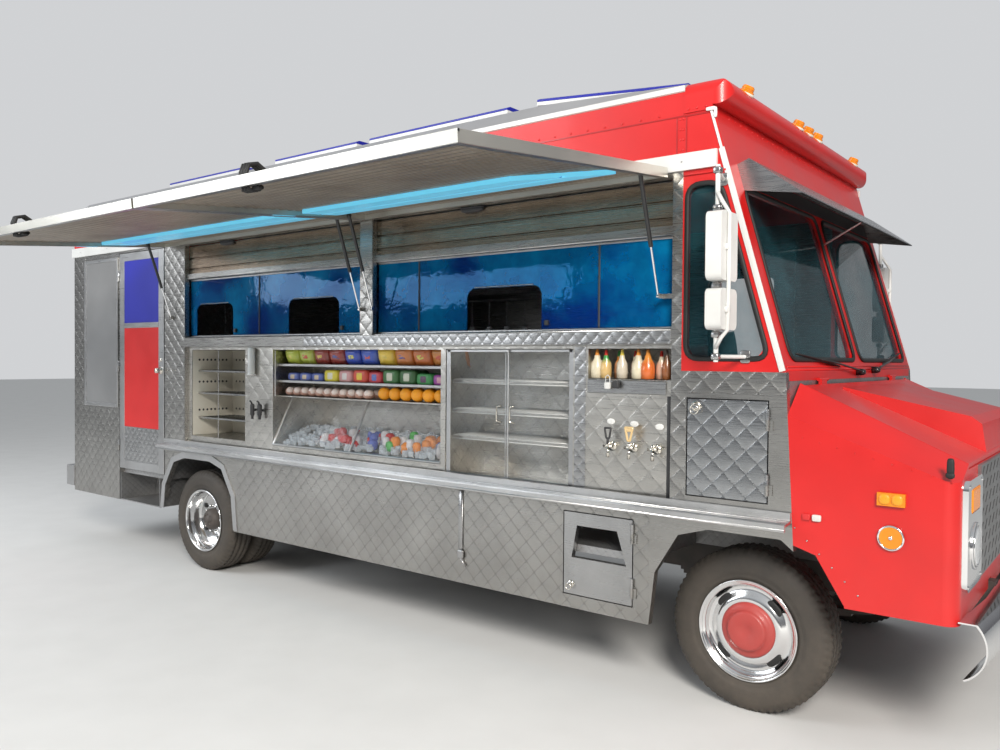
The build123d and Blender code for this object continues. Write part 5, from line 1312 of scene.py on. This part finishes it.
def nose_dress():
    """Rubber hood straps, fender clips, lamp trims and screws, ringed reflectors, lenses and tail lenses."""
    straps, bright, amber, clip, tail = (Batch() for _ in range(5))
    for out in (-1.0, 1.0):
        y = out * 1.2215
        straps.lump((0.925, y + out * 0.006, 1.312), (0.028, 0.022, 0.085), 0.5)
        straps.lump((0.925, y + out * 0.014, 1.285), (0.034, 0.018, 0.022), 0.5)
        clip.lump((0.352, y + out * 0.004, 1.046), (0.036, 0.014, 0.030), 0.4, tint=(0.55, 0.02, 0.02))
        clip.lump((0.398, y + out * 0.005, 1.046), (0.040, 0.016, 0.030), 0.4, tint=(0.62, 0.60, 0.56))
        bright.hoop(0.05, (0.705, y + out * 0.008, 1.0), "Y", 40, 0.005)
        bright.turned(((0, 0.0155), (0.007, 0.015), (0.009, 0.012), (0.009, 0.0)), (0.705, y, 1.0), steps=12, flip=out)
        for x in (0.680, 0.730):
            amber.lump((x, y + out * 0.018, 1.1625), (0.046, 0.016, 0.046), 0.8, 9, 16)
    for side, y in (("right", -LAMP_Y), ("left", LAMP_Y)):
        for radius, x, thick in ((0.094, 0.0235, 0.0065), (0.083, 0.0305, 0.004)):
            bright.hoop(radius, (NOSE_X + x, y, LAMP_Z), "X", 64, thick)
        glass = Batch()
        glass.turned(((0.0, 0.040), (0.03, 0.0385), (0.055, 0.0355), (0.075, 0.0315), (0.082, 0.030)),
                     (NOSE_X, y, LAMP_Z), "X", steps=64)
        glass.put("headlamp_lens_" + side, "fluted_glass")
        screw = ((0, 0.0045), (0.006, 0.004), (0.009, 0.0))
        for z in (0.82, 1.235):
            for aside in (-0.155, 0.155):
                bright.turned(screw, (NOSE_X + 0.022, y + aside, z), "X", steps=12)
    for y in (0.90, 1.04):
        for shade, z0, z1 in (((0.55, 0.01, 0.01), 0.7595, 0.833), ((0.85, 0.30, 0.03), 0.835, 0.8705)):
            tail.pair(plate((-6.5765, -6.549), (y - 0.001, y + 0.111), (z0, z1), 0.006), tint=shade)
    tail.flat("tail_lenses", "foil")
    straps.put("hood_straps", "rubber_trim")
    clip.put("fender_clips", "carton")
    bright.put("lamp_rings", "chrome")
    amber.put("fender_lenses", "amber_disc")


def visor_ribs():
    """Ribs under the sun visor, a dark sheet under it as painted shade, and a dark strip of painted shade on the cab
    face over the windscreen behind it.
    """
    ribs, lining = Batch(), Batch()
    start, end = np.array([0.030, 2.6915]), np.array([0.262, 2.5210])
    for share in np.linspace(0.06, 0.94, 9):
        x, z = start + share * (end - start)
        ribs.bar(x, (-1.098, 1.098), z, 0.0045, 6)
    ribs.put("visor_ribs", "dash_plastic")
    # painted shade: a dark sheet under the visor and a dark strip on the cab face below it
    under = [start + (0.004, -0.0075), end + (0.001, -0.0015), end + (0.001, -0.0035), start + (0.003, -0.0100)]
    face = [(on_face(z) + 0.0015, z) for z in (2.590, 2.676)]
    face += [(x + 0.002, z) for x, z in face[::-1]]
    for outline, half in ((under, 1.099), (face, 1.095)):
        lining.add(capped([np.insert(outline, 1, y, 1) for y in (-half, half)]))
    lining.flat("visor_lining", "dash_plastic")


def mirror_glass():
    """Mirror glasses with dark rims on the rear of both heads, and clamps where arms meet the pole."""
    rims, glass, clamps, pole = (Batch() for _ in range(4))
    for low, high in ((2.10, 2.41), (1.88, 2.065)):
        a, b = low + 0.007, high - 0.007
        corners = [(-0.0205, y, z) for y, z in ((1.327, a), (1.493, a), (1.493, b), (1.327, b))]
        rims.pair(bead(corners, 0.03, 0.006, 6), rows=True)
        glass.pair(plate((-0.0235, -0.0205), (1.332, 1.488), (low + 0.012, high - 0.012)))
    for z in (2.60, 1.76, 2.43, 1.86, 2.082):
        clamps.pair(lump((0.0, 1.42, z), (0.038, 0.038, 0.03), 0.4, 9, 16))
    for x, z in ((-0.06, 2.60), (0.06, 1.76)):
        clamps.pair(lump((x, 1.2245, z), (0.05, 0.008, 0.06), 0.4, 9, 16))
    way = ((0.004, -1.431, 1.80), (0.030, -1.436, 1.845), (0.0625, -1.438, 1.88), (0.0645, -1.438, 2.10),
           (0.0645, -1.438, 2.40), (0.030, -1.436, 2.455), (0.004, -1.431, 2.50))
    pole.pair(pipe(way, 0.0095, 12))
    for z in (1.97, 2.25):
        pole.pair(lump((0.060, -1.438, z), (0.018, 0.042, 0.030), 0.5))
    pole.put("mirror_stays", "mirror_white")
    rims.put("mirror_rims", "rubber_trim")
    glass.flat("mirror_glass", "chrome")
    clamps.put("mirror_clamps", "plain_steel")


for make in (body_trim, seams, rivets, lid_tops, menu_board, side_door_dress, door_hardware, skirt_brace, arch_trim,
             shelf_edges, awning_dress, hatch_trim, window_edges, kitchen_inside, cold_cabinet, display_goods,
             hot_cabinet, fittings, ice_frame, tyres, wheel_dress, gaskets, driver_seat, pillar_strips, wipers,
             nose_dress, visor_ribs, mirror_glass):
    make()


# Camera, lights and floor
def link(name, data):
    """A new object in the scene."""
    thing = bpy.data.objects.new(name, data)
    bpy.context.scene.collection.objects.link(thing)
    return thing


SENSOR, PICTURE_WIDE, FOCAL_PIXELS = 36.0, 1000, 836.7  # millimetres, then pixels
EYE = (1.567, -5.007, 1.741)


def camera():
    """The photograph's viewpoint, from its yaw, pitch and roll."""
    yaw, pitch, roll = radians(128.04), radians(-1.10), radians(0.46)
    look = np.array([cos(pitch) * cos(yaw), cos(pitch) * sin(yaw), sin(pitch)])
    right = np.array([sin(yaw), -cos(yaw), 0.0])
    up = np.cross(right, look)
    right, up = right * cos(roll) + up * sin(roll), up * cos(roll) - right * sin(roll)
    data = bpy.data.cameras.new("view")
    data.sensor_width, data.lens, data.clip_end = SENSOR, FOCAL_PIXELS / PICTURE_WIDE * SENSOR, 200
    eye = bpy.context.scene.camera = link("view", data)
    turn = Matrix(np.column_stack([right, up, -look]).tolist()).to_4x4()
    eye.matrix_world = Matrix.Translation((EYE + ORIGIN).tolist()) @ turn


def lamp(name, place, aim, size, watts, colour):
    """A square soft light that looks at a point."""
    data = bpy.data.lights.new(name, "AREA")
    data.size, data.energy, data.color = size, watts, colour
    light = link(name, data)
    light.rotation_mode = "QUATERNION"
    light.rotation_quaternion = Vector(np.subtract(aim, place).tolist()).to_track_quat("-Z", "Y")
    light.location = (np.asarray(place) + ORIGIN).tolist()


def studio():
    """Pale floor, soft sky and two large lights."""
    world = bpy.context.scene.world = bpy.data.worlds.new("studio")
    world.use_nodes = True
    tree = world.node_tree
    height = axes(tree, tree.nodes.new("ShaderNodeTexCoord").outputs["Generated"])["Z"]
    sky = ramp(tree, height, (0.26, 0.26, 0.28), (0.92, 0.96, 1.0), 0.0, 0.5)
    seen = tree.nodes.new("ShaderNodeLightPath").outputs["Is Camera Ray"]
    sky = blend_colour(tree, seen, sky, (1.22, 1.24, 1.27))
    feed(tree, tree.nodes["Background"].inputs, {"Color": sky, "Strength": 0.52})
    bpy.context.scene.view_settings.view_transform = "Standard"
    bpy.context.scene.view_settings.look = "None"
    lamp("key", (5.5, -8.5, 6.5), (-1.5, 0, 1.2), 3.0, 1350, (1.0, 0.96, 0.90))
    lamp("fill", (-9.0, -8.0, 5.5), (-3.5, 0, 1.2), 6.0, 560, (0.92, 0.96, 1.0))
    size = 60.0
    mesh = bpy.data.meshes.new("studio_floor")
    mesh.from_pydata([(-size, -size, 0), (size, -size, 0), (size, size, 0), (-size, size, 0)], [], [(0, 1, 2, 3)])
    mesh.materials.append(MATERIALS["studio_floor"])
    link("studio_floor", mesh)


camera()
studio()
